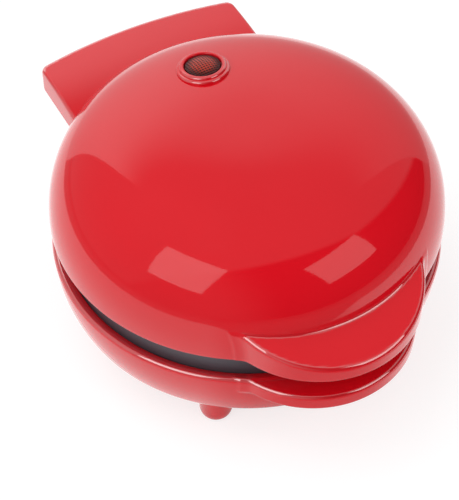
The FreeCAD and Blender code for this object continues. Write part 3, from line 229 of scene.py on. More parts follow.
def add(tree, kind, sockets=None, **settings):
    # a shader node with its settings, then its sockets
    node = tree.nodes.new("ShaderNode" + kind)
    for key, value in settings.items():
        setattr(node, key, value)
    fill(tree, node, sockets or {})
    return node


def maths(tree, operation, *terms, **settings):
    # each term is another node's output or a number
    return add(tree, "Math", dict(enumerate(terms)), operation=operation, **settings).outputs[0]


def vectors(tree, operation, *terms):
    outputs = add(tree, "VectorMath", dict(enumerate(terms)), operation=operation).outputs
    return outputs["Value" if operation in ("LENGTH", "DISTANCE", "DOT_PRODUCT") else "Vector"]


def mapRange(tree, source, fromLow, fromHigh, toLow, toHigh):
    # a smooth step of the source, from one range to the other
    values = dict(enumerate((source, fromLow, fromHigh, toLow, toHigh)))
    return add(tree, "MapRange", values, interpolation_type="SMOOTHSTEP").outputs[0]


def ramp(tree, source, low, high, stops=(0.3, 0.7)):
    # blends one colour into another as the source goes from stop to stop
    node = add(tree, "ValToRGB", {0: source})
    for element, position, colour in zip(node.color_ramp.elements, stops, (low, high)):
        element.position, element.color = position, colour
    return node.outputs[0]


def grey(value):
    return (value, value, value, 1.0)


def nodeGroup(name, inputs, outputs):
    # a shader group with named sockets; an input given as a tuple is a vector
    group = bpy.data.node_groups.new(name, "ShaderNodeTree")
    for socket, value in inputs.items():
        kind = "NodeSocketVector" if isinstance(value, tuple) else "NodeSocketFloat"
        made = group.interface.new_socket(socket, in_out="INPUT", socket_type=kind)
        made.default_value = value
    for socket, kind in outputs.items():
        group.interface.new_socket(socket, in_out="OUTPUT", socket_type=kind)
    source, target = group.nodes.new("NodeGroupInput"), group.nodes.new("NodeGroupOutput")
    return group, source.outputs, target


grainLook = dict(scale=900.0, depth=0.02, broadScale=30.0, detail=3.0, rough=0.6, broadDetail=2.0,
                 height=0.2)


def makeGrain():
    # fine moulded grain: two noises over the object, as masks and as a bumped normal
    group, given, out = nodeGroup(
        "surfaceGrain",
        {"Scale": grainLook["scale"], "Depth": grainLook["depth"],
         "Broad Scale": grainLook["broadScale"]},
        {"Mask": "NodeSocketFloat", "Broad": "NodeSocketFloat", "Normal": "NodeSocketVector"},
    )
    place = add(group, "TexCoord").outputs["Object"]
    fine = add(group, "TexNoise", {"Vector": place, "Scale": given["Scale"],
                                   "Detail": grainLook["detail"],
                                   "Roughness": grainLook["rough"]}).outputs["Fac"]
    broad = add(group, "TexNoise", {"Vector": place, "Scale": given["Broad Scale"],
                                    "Detail": grainLook["broadDetail"]}).outputs["Fac"]
    bump = add(group, "Bump", {"Strength": given["Depth"], "Distance": grainLook["height"] * mm,
                               "Height": fine})
    fill(group, out, {"Mask": fine, "Broad": broad, "Normal": bump.outputs["Normal"]})
    return group


brushLook = dict(stretch=(60.0, 2500.0, 2500.0), depth=0.05, detail=2.0, heatScale=60.0, height=0.1,
                 roughSpread=0.2)


def makeBrushed():
    # drawn metal: noise stretched along one axis, as a mask and as a bumped normal, and a heat tint
    group, given, out = nodeGroup(
        "brushedMetal",
        {"Stretch": brushLook["stretch"], "Depth": brushLook["depth"]},
        {"Mask": "NodeSocketFloat", "Heat": "NodeSocketFloat", "Normal": "NodeSocketVector"},
    )
    place = add(group, "TexCoord").outputs["Object"]
    drawn = vectors(group, "MULTIPLY", place, given["Stretch"])
    fine = add(group, "TexNoise", {"Vector": drawn, "Scale": 1.0,
                                   "Detail": brushLook["detail"]}).outputs["Fac"]
    heat = add(group, "TexNoise", {"Vector": place, "Scale": brushLook["heatScale"],
                                   "Detail": brushLook["detail"]}).outputs["Fac"]
    bump = add(group, "Bump", {"Strength": given["Depth"], "Distance": brushLook["height"] * mm,
                               "Height": fine})
    fill(group, out, {"Mask": fine, "Heat": heat, "Normal": bump.outputs["Normal"]})
    return group


grainGroup = makeGrain()
brushedGroup = makeBrushed()


def startMaterial(name):
    material = bpy.data.materials.new(name)
    material.use_nodes = True
    return material, material.node_tree, material.node_tree.nodes["Principled BSDF"]


def makeFinish(name, group, inputs, tintFrom, low, high, roughLow, roughHigh, constants):
    # colour from the group's broad noise, roughness and normal from its fine one
    material, tree, shader = startMaterial(name)
    texture = add(tree, "Group", inputs, node_tree=group).outputs
    fill(tree, shader, {
        "Base Color": ramp(tree, texture[tintFrom], low + (1.0,), high + (1.0,)),
        "Roughness": ramp(tree, texture["Mask"], grey(roughLow), grey(roughHigh)),
        "Normal": texture["Normal"],
        **constants,
    })
    return material


def mouldedMaterial(name, low, high, rough, spread, scale, depth, broad=30.0, constants=None):
    inputs = {"Scale": scale, "Depth": depth, "Broad Scale": broad}
    return makeFinish(name, grainGroup, inputs, "Broad", low, high, rough - spread, rough + spread,
                      constants or {})


def metalMaterial(name, low, high, rough, stretch, depth):
    inputs = {"Stretch": stretch, "Depth": depth}
    less, more = rough * (1 - brushLook["roughSpread"]), rough * (1 + brushLook["roughSpread"])
    return makeFinish(name, brushedGroup, inputs, "Heat", low, high, less, more, {"Metallic": 1.0})


# by slot: two colours, roughness and its spread, size and depth of the grain
mouldings = {
    # red_gloss: the strong clear coat (Coat IOR 2.7) shows only where the painted highlight mask is set,
    # on edges and the lamp collar
    "red_gloss": dict(name="redGloss", low=(0.70, 0.0050, 0.013), high=(0.73, 0.0065, 0.015),
                      rough=0.055, spread=0.010, scale=700.0, depth=0.010, broad=18.0,
                      constants={"IOR": 1.5, "Coat IOR": 2.7, "Coat Roughness": 0.05}),
    "dark_ring": dict(name="darkRing", low=(0.062, 0.058, 0.072), high=(0.074, 0.070, 0.084),
                      rough=0.42, spread=0.06, scale=1500.0, depth=0.25),
    "nonstick_plate": dict(name="nonStick", low=(0.016, 0.016, 0.017), high=(0.026, 0.026, 0.027),
                           rough=0.36, spread=0.09, scale=2600.0, depth=0.35),
    "thermostat_body": dict(name="thermostatBody", low=(0.020, 0.016, 0.014),
                            high=(0.034, 0.028, 0.024), rough=0.48, spread=0.08, scale=1400.0, depth=0.20),
    "fuse_sleeve": dict(name="fuseSleeve", low=(0.60, 0.58, 0.52), high=(0.72, 0.70, 0.64),
                        rough=0.62, spread=0.08, scale=2200.0, depth=0.50),
    "block_ceramic": dict(name="blockCeramic", low=(0.70, 0.67, 0.60), high=(0.80, 0.77, 0.71),
                          rough=0.42, spread=0.08, scale=1300.0, depth=0.15),
    "gland_black": dict(name="glandBlack", low=(0.014, 0.014, 0.015), high=(0.022, 0.022, 0.023),
                        rough=0.50, spread=0.07, scale=1500.0, depth=0.22),
    "lead_sleeving": dict(name="leadSleeving", low=(0.62, 0.60, 0.54), high=(0.75, 0.73, 0.68),
                          rough=0.66, spread=0.06, scale=3200.0, depth=0.60),
    "foot_rubber": dict(name="footRubber", low=(0.020, 0.020, 0.021), high=(0.034, 0.034, 0.035),
                        rough=0.78, spread=0.07, scale=1900.0, depth=0.35),
    "resistor_tan": dict(name="resistorTan", low=(0.52, 0.36, 0.20), high=(0.62, 0.45, 0.27),
                         rough=0.48, spread=0.06, scale=1500.0, depth=0.15),
    "lamp_glass": dict(name="lampGlass", low=(0.86, 0.85, 0.82), high=(0.92, 0.91, 0.89),
                       rough=0.06, spread=0.02, scale=900.0, depth=0.02,
                       constants={"Transmission Weight": 0.9}),
}
# by slot: two colours, roughness, how the brushing is stretched and its depth
metals = {
    "element_steel": dict(name="elementSteel", low=(0.30, 0.26, 0.22), high=(0.42, 0.40, 0.38),
                          rough=0.38, stretch=(900.0, 900.0, 900.0), depth=0.15),
    "terminal_steel": dict(name="terminalSteel", low=(0.60, 0.60, 0.58), high=(0.68, 0.67, 0.65),
                           rough=0.28, stretch=(80.0, 2500.0, 2500.0), depth=0.08),
    "shield_steel": dict(name="shieldSteel", low=(0.55, 0.54, 0.52), high=(0.66, 0.65, 0.63),
                         rough=0.34, stretch=(60.0, 2500.0, 2500.0), depth=0.12),
    "screw_steel": dict(name="screwSteel", low=(0.58, 0.57, 0.54), high=(0.66, 0.65, 0.62),
                        rough=0.25, stretch=(2000.0, 2000.0, 60.0), depth=0.06),
    "pin_steel": dict(name="pinSteel", low=(0.60, 0.60, 0.60), high=(0.67, 0.67, 0.67),
                      rough=0.22, stretch=(60.0, 2500.0, 2500.0), depth=0.06),
    "terminal_brass": dict(name="terminalBrass", low=(0.62, 0.44, 0.17), high=(0.72, 0.53, 0.22),
                           rough=0.30, stretch=(60.0, 2500.0, 2500.0), depth=0.08),
}


def addPaintedSheen(material):
    # painted highlights: the edges in the painted sheen mask take a clear coat, so the lamps' reflections
    # show brighter there
    tree = material.node_tree
    paintedSheenWeight = add(tree, "Attribute", attribute_name="paintedSheen").outputs["Fac"]
    fill(tree, tree.nodes["Principled BSDF"], {"Coat Weight": paintedSheenWeight})


# sizes in mm; the crown is the top of the lens, y and z about the dome's axis
lensLook = dict(crown=(35.95, 98.05), pitch=1.1, fadeFrom=3.2, fadeTo=6.6, paintedRimShade=0.10, ior=1.28,
                groove=(0.035, 0.003, 0.003, 1), bar=(0.55, 0.045, 0.022, 1), stops=(0.05, 0.98),
                grooveRough=0.24, barRough=0.12, bump=0.35, height=0.3)


def makeLensMaterial():
    # crossed prism bars under a clear red moulding: the greater of two cosines, as bump and as a tint that
    # darkens in the grooves; painted shade darkens the tint away from the crown, a dark rim round the lens
    material, tree, shader = startMaterial("lensRed")
    place = add(tree, "TexCoord").outputs["Object"]
    split = add(tree, "SeparateXYZ", {0: place}).outputs
    turn = 2 * math.pi / (lensLook["pitch"] * mm)
    waves = [maths(tree, "COSINE", maths(tree, "MULTIPLY", split[axis], turn)) for axis in (0, 1)]
    cross = maths(tree, "MAXIMUM", *waves)
    crown = (0.0, (lensLook["crown"][0] + axisY) * mm, lensLook["crown"][1] * mm)
    away = vectors(tree, "DISTANCE", place, crown)
    # painted shade: the tint falls from full at the crown to a dark rim near the lens's edge
    depth = mapRange(tree, away, lensLook["fadeFrom"] * mm, lensLook["fadeTo"] * mm,
                     1.0, lensLook["paintedRimShade"])
    tint = maths(tree, "MULTIPLY", cross, depth)
    bump = add(tree, "Bump", {"Strength": lensLook["bump"], "Distance": lensLook["height"] * mm,
                              "Height": cross})
    fill(tree, shader, {
        "IOR": lensLook["ior"],
        "Base Color": ramp(tree, tint, lensLook["groove"], lensLook["bar"], lensLook["stops"]),
        "Roughness": ramp(tree, cross, grey(lensLook["grooveRough"]), grey(lensLook["barRough"])),
        "Normal": bump.outputs["Normal"],
    })
    return material


slotMaterials = {slot: mouldedMaterial(**look) for slot, look in mouldings.items()}
slotMaterials.update({slot: metalMaterial(**look) for slot, look in metals.items()})
slotMaterials["lens_red"] = makeLensMaterial()
addPaintedSheen(slotMaterials["red_gloss"])
print("materials made,", len(slotMaterials))


# the dome, the visor, the wing over the hinge, the rim with the wing's pocket, and the grid
lid = dict(
    foot=0.39, rise=42.51, planPower=3.46, risePower=2.18,
    discY=-52.0, tipY=-67.7, frontY=-92.0, tipH=12.5, frontH=5.8, visorEdge=1.5, visorFoot=0.8,
    wingHalf=44.0, wingRear=100.5, wingBow=5.5, wingCorner=3.0, leastCorner=0.5, wingH=12.8,
    wingCrown=0.0030, wingMid=86.0, wingEdge=1.6, wingFoot=1.2, wingRaise=2.4, raiseFrom=0.8,
    raiseFull=4.0, probeR=120.0, probes=400,
    bottomEdge=0.6, pocketFull=3.0, pocketLeast=0.2, flatIn=0.35, flatOut=0.65, apart=0.05,
    columns=520, rows=150, rays=820, lowestRay=-32.0, ringR=66.0, ringZ=57.0, bendLength=11.0,
    crowded=[(-58.5, 6, 2.5), (-121.5, 6, 2.5), (60, 6, 3), (120, 6, 3)], innerRows=27, innerPower=0.7,
)
visorSlope = (lid["tipH"] - lid["frontH"]) / (lid["tipY"] - lid["frontY"])
bowR = (lid["wingHalf"] ** 2 + lid["wingBow"] ** 2) / (2 * lid["wingBow"])


def domeShare(a):
    # superellipse: the height's share of the rise at a share of the radius
    return np.clip(1 - a ** lid["planPower"], 0, 1) ** (1 / lid["risePower"])


def domeHeight(r):
    a = np.clip(r, 0, body["radius"]) / body["radius"]
    return body["rimZ"] + lid["foot"] + lid["rise"] * domeShare(a)


def domeRadius(z):
    # the same superellipse, solved for the radius
    h = np.clip((z - body["rimZ"] - lid["foot"]) / lid["rise"], 0, 1)
    return body["radius"] * (1 - h ** lid["risePower"]) ** (1 / lid["planPower"])


def domeGap(r, z):
    # superellipse of revolution, divided by its slope to give a distance
    a = np.maximum(r, 1e-6) / body["radius"]
    h = np.maximum((z - body["rimZ"] - lid["foot"]) / lid["rise"], 1e-9)
    p, q = lid["planPower"], lid["risePower"]
    slope = np.hypot(p * a ** (p - 1) / body["radius"], q * h ** (q - 1) / lid["rise"])
    return (a ** p + h ** q - 1) / np.maximum(slope, 1e-4)


def wingPlan(x, y, inset=0.0):
    # straight sides and a bowed rear edge with round corners, moved in by the inset
    sides = np.abs(x) - lid["wingHalf"] + inset
    rear = np.hypot(x, y - lid["wingRear"] + bowR) - bowR + inset
    return roundCut(sides, rear, max(lid["wingCorner"] - inset, lid["leastCorner"]))


def lidGap(x, y, z):
    # the dome joined with the visor under its sloping top and with the wing under its crowned roof
    dome = domeGap(np.hypot(x, y), z)
    top = (z - body["rimZ"] - lid["tipH"] - visorSlope * (y - lid["tipY"])) / math.hypot(1, visorSlope)
    visor = roundCut(visorPlan(x, y, domeRadius(z), lid["discY"]), top, lid["visorEdge"])
    roof = z - body["rimZ"] - lid["wingH"] + lid["wingCrown"] * (y - lid["wingMid"]) ** 2
    wing = roundCut(wingPlan(x, y), roof, lid["wingEdge"])
    whole = roundUnion(dome, np.maximum(visor, y + body["middle"]), lid["visorFoot"])
    return roundUnion(whole, np.maximum(wing, body["middle"] - y), lid["wingFoot"])


def lidRim(edgeR, bottom, pocketOut):
    # below the outside: a rounded edge, the flat rim or the pocket in the wing, and the inner skin,
    # which is the same dome, smaller by the wall
    e, radius, rimZ = lid["bottomEdge"], body["radius"], body["rimZ"]
    arc = np.linspace(0, quarter, 5)[1:]
    arcR = edgeR[:, None] - e + e * np.cos(arc)
    arcZ = bottom[:, None] + e - e * np.sin(arc)
    innerR = radius - body["wall"]
    span = edgeR - e - innerR
    keep = smoothStep(0.0, lid["pocketFull"], np.maximum(pocketOut - radius, 0))  # 1 at the pocket
    pocketR = np.maximum(pocketOut, radius + lid["pocketLeast"])
    near = (1 - keep) * (innerR + lid["flatIn"] * span) + keep * radius
    far = (1 - keep) * (innerR + lid["flatOut"] * span) + keep * pocketR
    roof = bottom + (rimZ + lid["wingH"] - body["wall"] - bottom) * keep
    flat = np.full_like(bottom, rimZ)
    d = (1 - keep) * lid["apart"] * span  # keeps the points apart where there is no pocket
    wallR = [far + d, far, far - d, (far + near) / 2, near + d, near, near - d,
             np.full_like(far, innerR)]
    wallZ = [bottom, (bottom + roof) / 2, roof, roof, roof, (flat + roof) / 2, flat, flat]
    t = np.linspace(0, 1, lid["innerRows"])[1:-1]
    share = np.cos(t * quarter) ** lid["innerPower"]
    inZ = rimZ + (lid["foot"] + lid["rise"] - body["wall"]) * domeShare(share)
    full = np.ones((edgeR.size, 1))
    return (np.concatenate([arcR, np.stack(wallR, 1), full * innerR * share], 1),
            np.concatenate([arcZ, np.stack(wallZ, 1), full * inZ], 1))


def makeLid():
    # sections through the axis: the outside by rays from a ring inside it, then the rim and the inside
    theta = denseAngles(lid["columns"], lid["crowded"])
    c, s = np.cos(theta)[:, None], np.sin(theta)[:, None]
    apex = domeHeight(0.0)
    highestRay = math.atan2(apex - lid["ringZ"], -lid["ringR"])
    phi = np.linspace(highestRay, math.radians(lid["lowestRay"]), lid["rays"])
    r, z = skin(lidGap, theta, phi, lid["ringR"], lid["ringZ"])
    probe = np.linspace(body["radius"], lid["probeR"], lid["probes"])[None, :]
    wingOut, pocketOut = (  # how far the wing and its pocket reach in each direction
        np.where((wingPlan(probe * c, probe * s, inset) < 0) & (s > 0), probe, 0).max(1)
        for inset in (0.0, body["wall"]))
    raised = smoothStep(lid["raiseFrom"], lid["raiseFull"], np.maximum(wingOut - body["radius"], 0))
    bottom = body["rimZ"] + lid["wingRaise"] * raised
    outR, outZ = evenOut(r, z, lid["rows"], lid["bendLength"], bottom + lid["bottomEdge"])
    rimR, rimZ = lidRim(outR[:, -1], bottom, pocketOut)
    allR = np.concatenate([outR[:, 1:], rimR], 1)
    allZ = np.concatenate([outZ[:, 1:], rimZ], 1)
    points = np.stack([allR * c, allR * s, allZ], -1)
    poles = np.array([[0, 0, apex], [0, 0, apex - body["wall"]]])
    # painted highlight on the outside: upward edges everywhere, hollows only in front; the rim and inside
    # get none
    paintedSheen = np.zeros(allR.shape)
    paintedSheen[:, :lid["rows"] - 1] = paintedEdgeSheen(outR, outZ, s < 0)[:, 1:]
    shell = makePiece("lidShell", points, "lid", sharp=38.0, poles=poles, paintedSheen=paintedSheen)
    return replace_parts(shell, "lid_cover")


lidShell = makeLid()
print("lid shell made,", len(lidShell.data.polygons), "faces")


collar = dict(y=35.5, turns=144, footR=10.3, deepH=-1.6, floorR=3.0, lowerArc=1.1, upperArc=1.0,
              step=0.12, lipR=0.5, boreR=7.3, boreH=0.5, seatH=-0.35, paintedSheenFront=0.3)


def onDome(r, t, h):
    # a turned point stands square on the dome at the lamp: leant back by the dome's slope there
    y = collar["y"]
    lean = math.atan(domeHeight(y - 0.5) - domeHeight(y + 0.5))
    across, along = r * np.cos(t), r * np.sin(t)
    return np.stack([across, y + along * math.cos(lean) + h * math.sin(lean),
                     domeHeight(y) - along * math.sin(lean) + h * math.cos(lean)], -1)


def makeCollar():
    # a stepped ring: one quarter round above another, then a rounded lip, the bore and its seat
    u = np.linspace(0, quarter, 15)
    low, high = collar["lowerArc"], collar["upperArc"]
    lowR = collar["footR"] - low + low * np.cos(u)
    highR = collar["footR"] - low - collar["step"] - high + high * np.cos(u)
    a = np.linspace(0, quarter, 6)[1:]
    lipR = collar["boreR"] + collar["lipR"] * (1 - np.sin(a))
    lipH = low + high - collar["lipR"] * (1 - np.cos(a))
    deep, floorR, boreR, seat = collar["deepH"], collar["floorR"], collar["boreR"], collar["seatH"]
    r = np.concatenate([[floorR, collar["footR"]], lowR, highR, lipR, [boreR, boreR, floorR]])
    h = np.concatenate([[deep, deep], low * np.sin(u), low + high * np.sin(u), lipH,
                        [collar["boreH"], seat, seat]])
    t = roundTurn(collar["turns"])
    points = onDome(r + 0 * t, t, h + 0 * t)
    # painted highlight: the clear coat lies on the two quarter rounds, strongest at their middles and only
    # on the front half
    paintedSheen = np.zeros(points.shape[:2])
    front = smoothStep(collar["paintedSheenFront"], -collar["paintedSheenFront"], np.sin(t))
    paintedSheen[:, 2:2 + 2 * u.size] = np.tile(np.sin(2 * u), 2) * front
    makePiece("lampCollar", points, "lid", sharp=50.0, paintedSheen=paintedSheen)


lens = dict(radius=7.0, top=3.05, edge=1.2, foot=-0.25, crownShare=0.93, crownFall=0.75, edgeFall=1.2,
            footRadii=[7.0, 5.0, 0.5], hubShare=0.06, edgeStart=0.2, turns=96)


def makeLens():
    # a low crown that falls by the square of the radius, a rounded edge and a straight skirt
    k = np.linspace(lens["hubShare"], 1, 14)
    crownR = lens["radius"] * lens["crownShare"] * k
    crownH = lens["top"] - (lens["top"] - lens["edge"]) * lens["crownFall"] * k ** 2
    a = np.linspace(lens["edgeStart"], quarter, 6)
    width = lens["radius"] - crownR[-1]
    edgeR = crownR[-1] + width * np.sin(a)
    edgeH = crownH[-1] - width * lens["edgeFall"] * (1 - np.cos(a))
    r = np.concatenate([crownR, edgeR, lens["footRadii"]])
    h = np.concatenate([crownH, edgeH, [lens["foot"]] * 3])
    t = roundTurn(lens["turns"])
    poles = onDome(np.zeros(2), np.zeros(2), np.array([lens["top"], lens["foot"]]))
    points = onDome(r + 0 * t, t, h + 0 * t)
    cap = makePiece("lampLens", points, "lid", "lens_red", sharp=45.0, poles=poles)
    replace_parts(cap, "lamp_lens")


makeCollar()
makeLens()
print("lamp collar and lens made")


# lugs of the lid, knuckle and arm of the base
joint = dict(lugR=6.4, lugIn=30.6, lugOut=36.2, lugTop=64.2, lugBore=3.32, bevel=0.5,
             knuckleR=6.2, knuckleHalf=30.0, knuckleBore=3.24, stations=15, stationIn=2.0,
             topStart=200.0, topSlope=38.0, underStart=274.0, underSlope=54.4,
             armSink=1.2, armMost=60.0, armFrom=0.5, armFull=3.0, armBack=3.0)


def barWithBore(name, outline, stations, bodyName, boreR, reshape=None):
    # a polar outline about the hinge line and its bore, carried along x; each station is (x, shrink)
    a = np.linspace(0, 2 * np.pi, outline.size, endpoint=False)[:, None]
    x, shrink = np.array(stations).T
    outer = outline[:, None] - shrink
    rho = np.concatenate([outer, np.full_like(outer, boreR)], 1)
    xs = np.broadcast_to(np.concatenate([x, x[::-1]]), rho.shape)
    y = hinge["y"] + rho * np.cos(a)
    z = hinge["z"] + rho * np.sin(a)
    if reshape:
        y = reshape(xs, y, rho)
    makePiece(name, np.stack([xs, y, z], -1), bodyName, sharp=32.0)


def makeLugs():
    # round below the hinge line, and straight up to the lid above it
    a = np.linspace(0, 2 * np.pi, 180, endpoint=False)
    up = np.sin(a)
    hanger = np.minimum(joint["lugR"] / np.maximum(np.abs(np.cos(a)), 1e-3),
                        (joint["lugTop"] - hinge["z"]) / np.maximum(up, 1e-3))
    outline = np.where(up > 0, hanger, joint["lugR"])
    b = joint["bevel"]
    ends = [joint["lugIn"], joint["lugIn"] + b, joint["lugOut"] - b, joint["lugOut"]]
    for side, word in ((-1, "Left"), (1, "Right")):
        stations = [(side * x, shrink) for x, shrink in zip(ends, (b, 0, 0, b))]
        barWithBore("hingeLug" + word, outline, stations, "lid", joint["lugBore"])


def makeKnuckle():
    # a round knuckle, with an arm between two sloping faces that ends inside the bowl's wall
    rad = np.radians(np.linspace(0, 360, 720, endpoint=False))
    cos, sin = np.cos(rad), np.sin(rad)
    top, under = math.radians(joint["topStart"]), math.radians(joint["underStart"])
    k = joint["knuckleR"]
    wallR = body["radius"] - joint["armSink"]
    outline = np.full(rad.shape, k)
    for start, slope, sign in ((top, joint["topSlope"], 1), (under, joint["underSlope"], -1)):
        py, pz = k * math.cos(start), k * math.sin(start)
        dy, dz = -math.cos(math.radians(slope)), -math.sin(math.radians(slope))
        ny, nz = -dz * sign, dy * sign
        facing = cos * ny + sin * nz
        reach = (py * ny + pz * nz) / np.where(np.abs(facing) < 1e-6, 1e-6, facing)
        along = reach * (cos * dy + sin * dz) - (py * dy + pz * dz)
        outline = np.where((reach > 0) & (along > 0), np.maximum(outline, reach), outline)
    side = np.where(cos < -1e-3, (wallR - hinge["y"]) / np.minimum(cos, -1e-3), 1e9)
    arm = np.where(outline > k, np.minimum(outline, side), np.minimum(side, joint["armMost"]))
    outline = np.where((rad > top) & (rad < under), np.maximum(arm, k), outline)
    b, half = joint["bevel"], joint["knuckleHalf"]
    inner = half - joint["stationIn"]
    stations = [(-half, b), (-half + b, 0)]
    stations += [(x, 0) for x in np.linspace(-inner, inner, joint["stations"])]
    stations += [(half - b, 0), (half, b)]

    def toBowl(x, y, rho):
        # the arm's far end follows the bowl's round wall
        edge = np.sqrt(wallR ** 2 - x ** 2)
        far = smoothStep(k + joint["armFrom"], k + joint["armFull"], rho)
        return y + far * (edge - wallR) * smoothStep(hinge["y"] - joint["armBack"], body["radius"], y)

    barWithBore("hingeKnuckle", outline, stations, "base", joint["knuckleBore"], toBowl)


makeLugs()
makeKnuckle()
print("hinge pieces made")


bowl = dict(discY=-49.8, sideR=57.0, sideDrop=1.2, edge=1.8, turnR=12.0, bottomZ=8.0, lipT=7.6,
            underEdge=2.2, lipFoot=1.0, seam=0.02, startIn=0.3, shelfR=71.8, shelfFall=1.2, shelfT=4.6,
            holeR=50.0, innerTop=33.6, innerRows=10, columns=440, rows=110, rays=700, ringR=62.0,
            ringZ=37.5, bendLength=10.0, crowded=[(-57, 7, 3), (-123, 7, 3)], outsideTop=36.0)
sideZ = body["lipZ"] - bowl["sideDrop"]
sideC = body["radius"] - bowl["sideR"]


def bowlGap(x, y, z):
    # a round side, turned into the floor and over the top edge, joined with the front lip between its
    # upper and lower edges
    r = np.hypot(x, y)
    side = np.where(z < sideZ, np.hypot(r - sideC, z - sideZ) - bowl["sideR"], r - body["radius"])
    shell = roundCut(side, bowl["bottomZ"] - z, bowl["turnR"])
    shell = roundCut(shell, z - body["lipZ"], bowl["edge"])
    plan = visorPlan(x, y, np.full_like(r, body["radius"]), bowl["discY"])
    front = roundCut(plan, z - body["lipZ"], bowl["edge"])
    front = roundCut(front, body["lipZ"] - bowl["lipT"] - z, bowl["underEdge"])
    front = np.maximum(front, y + body["middle"])
    return np.minimum(shell, roundUnion(shell + bowl["seam"], front, bowl["lipFoot"]))


def bowlOutside(r):
    # height of the bowl's outside at a radius, found by halving
    r = np.asarray(r, float)
    low, high = np.zeros_like(r), np.full_like(r, bowl["outsideTop"])
    for _ in range(halvings):
        mid = (low + high) / 2
        outside = bowlGap(0 * r, r, mid) > 0
        low, high = np.where(outside, mid, low), np.where(outside, high, mid)
    return high


def makeBowl():
    # sections through the axis: the outside by rays from a ring inside it, then the inside and shelf
    theta = denseAngles(bowl["columns"], bowl["crowded"])
    startR = body["radius"] - bowl["edge"] - bowl["startIn"]
    start = math.atan2(body["lipZ"] - bowl["ringZ"], startR - bowl["ringR"])
    end = math.atan2(bowl["bottomZ"] - bowl["ringZ"], bowl["holeR"] - bowl["ringR"])
    phi = np.linspace(start, end, bowl["rays"])
    r, z = skin(bowlGap, theta, phi, bowl["ringR"], bowl["ringZ"])
    outR, outZ = evenOut(r, z, bowl["rows"], bowl["bendLength"])
    floorZ, shelfZ = bowl["bottomZ"] + body["wall"], body["lipZ"] - bowl["shelfFall"]
    inZ = np.linspace(floorZ, bowl["innerTop"], bowl["innerRows"])
    inR = sideC + np.sqrt((bowl["sideR"] - body["wall"]) ** 2 - (inZ - sideZ) ** 2)
    backR = np.concatenate([[bowl["holeR"]], inR, [bowl["shelfR"]] * 2])
    backZ = np.concatenate([[floorZ], inZ, [shelfZ - bowl["shelfT"], shelfZ]])
    full = np.ones((theta.size, 1))
    allR = np.concatenate([outR, full * backR], 1)
    allZ = np.concatenate([outZ, full * backZ], 1)
    c, s = np.cos(theta)[:, None], np.sin(theta)[:, None]
    # painted highlight on the outside: upward edges everywhere, hollows only in front; the inside gets
    # none
    paintedSheen = np.zeros(allR.shape)
    paintedSheen[:, :bowl["rows"]] = paintedEdgeSheen(outR, outZ, s < 0)
    points = np.stack([allR * c, allR * s, allZ], -1)
    shell = makePiece("bowlShell", points, "base", sharp=38.0, paintedSheen=paintedSheen)
    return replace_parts(shell, "base_housing")


bowlShell = makeBowl()
print("bowl made,", len(bowlShell.data.polygons), "faces")


vents = dict(count=8, circle=30.0, length=14.0, width=3.0, rimPoints=160, endPoints=10)


def makeBottom():
    # a filled outline with a ring of slots, given the wall's thickness
    curve = bpy.data.curves.new("bowlBottom", "CURVE")
    curve.dimensions = "2D"
    curve.fill_mode = "BOTH"
    curve.extrude = body["wall"] / 2 * mm
    t = roundTurn(vents["rimPoints"])
    outlines = [bowl["holeR"] * np.concatenate([np.cos(t), np.sin(t)], 1)]
    a = np.linspace(-quarter, quarter, vents["endPoints"])
    half, endR = (vents["length"] - vents["width"]) / 2, vents["width"] / 2
    end = np.stack([half + endR * np.cos(a), endR * np.sin(a)], 1)
    x, y = (np.concatenate([end, -end]) + [vents["circle"], 0]).T
    for k in range(vents["count"]):
        turn = 2 * np.pi * (k + 0.5) / vents["count"]
        c, s = np.cos(turn), np.sin(turn)
        outlines.append(np.stack([x * c - y * s, x * s + y * c], 1))
    for shape in outlines:
        spline = curve.splines.new("POLY")
        spline.points.add(len(shape) - 1)
        flat = np.concatenate([shape * mm, np.zeros((len(shape), 1)), np.ones((len(shape), 1))], 1)
        spline.points.foreach_set("co", flat.ravel())
        spline.use_cyclic_u = True
    source = linkObject("bowlBottomCurve", curve)
    graph = bpy.context.evaluated_depsgraph_get()
    mesh = bpy.data.meshes.new_from_object(source.evaluated_get(graph))
    bpy.data.objects.remove(source)
    mesh.transform(Matrix.Translation((0, axisY * mm, (bowl["bottomZ"] + body["wall"] / 2) * mm)))
    mesh.name = "bowlBottom"
    mesh.materials.clear()
    mesh.materials.append(slotMaterials["red_gloss"])
    obj = linkObject("bowlBottom", mesh)
    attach(obj, "base")


makeBottom()
print("bowl floor made")


foot = dict(x=38.5, y=46.5, radius=6.6, topR=7.0, floorZ=0.6, padR=4.7, padTop=2.0, edge=4.5, lip=0.2,
            flat=0.3, hubR=0.6, sunk=0.35, capRadii=[6.0, 3.0], capSunk=1.0, turns=72)


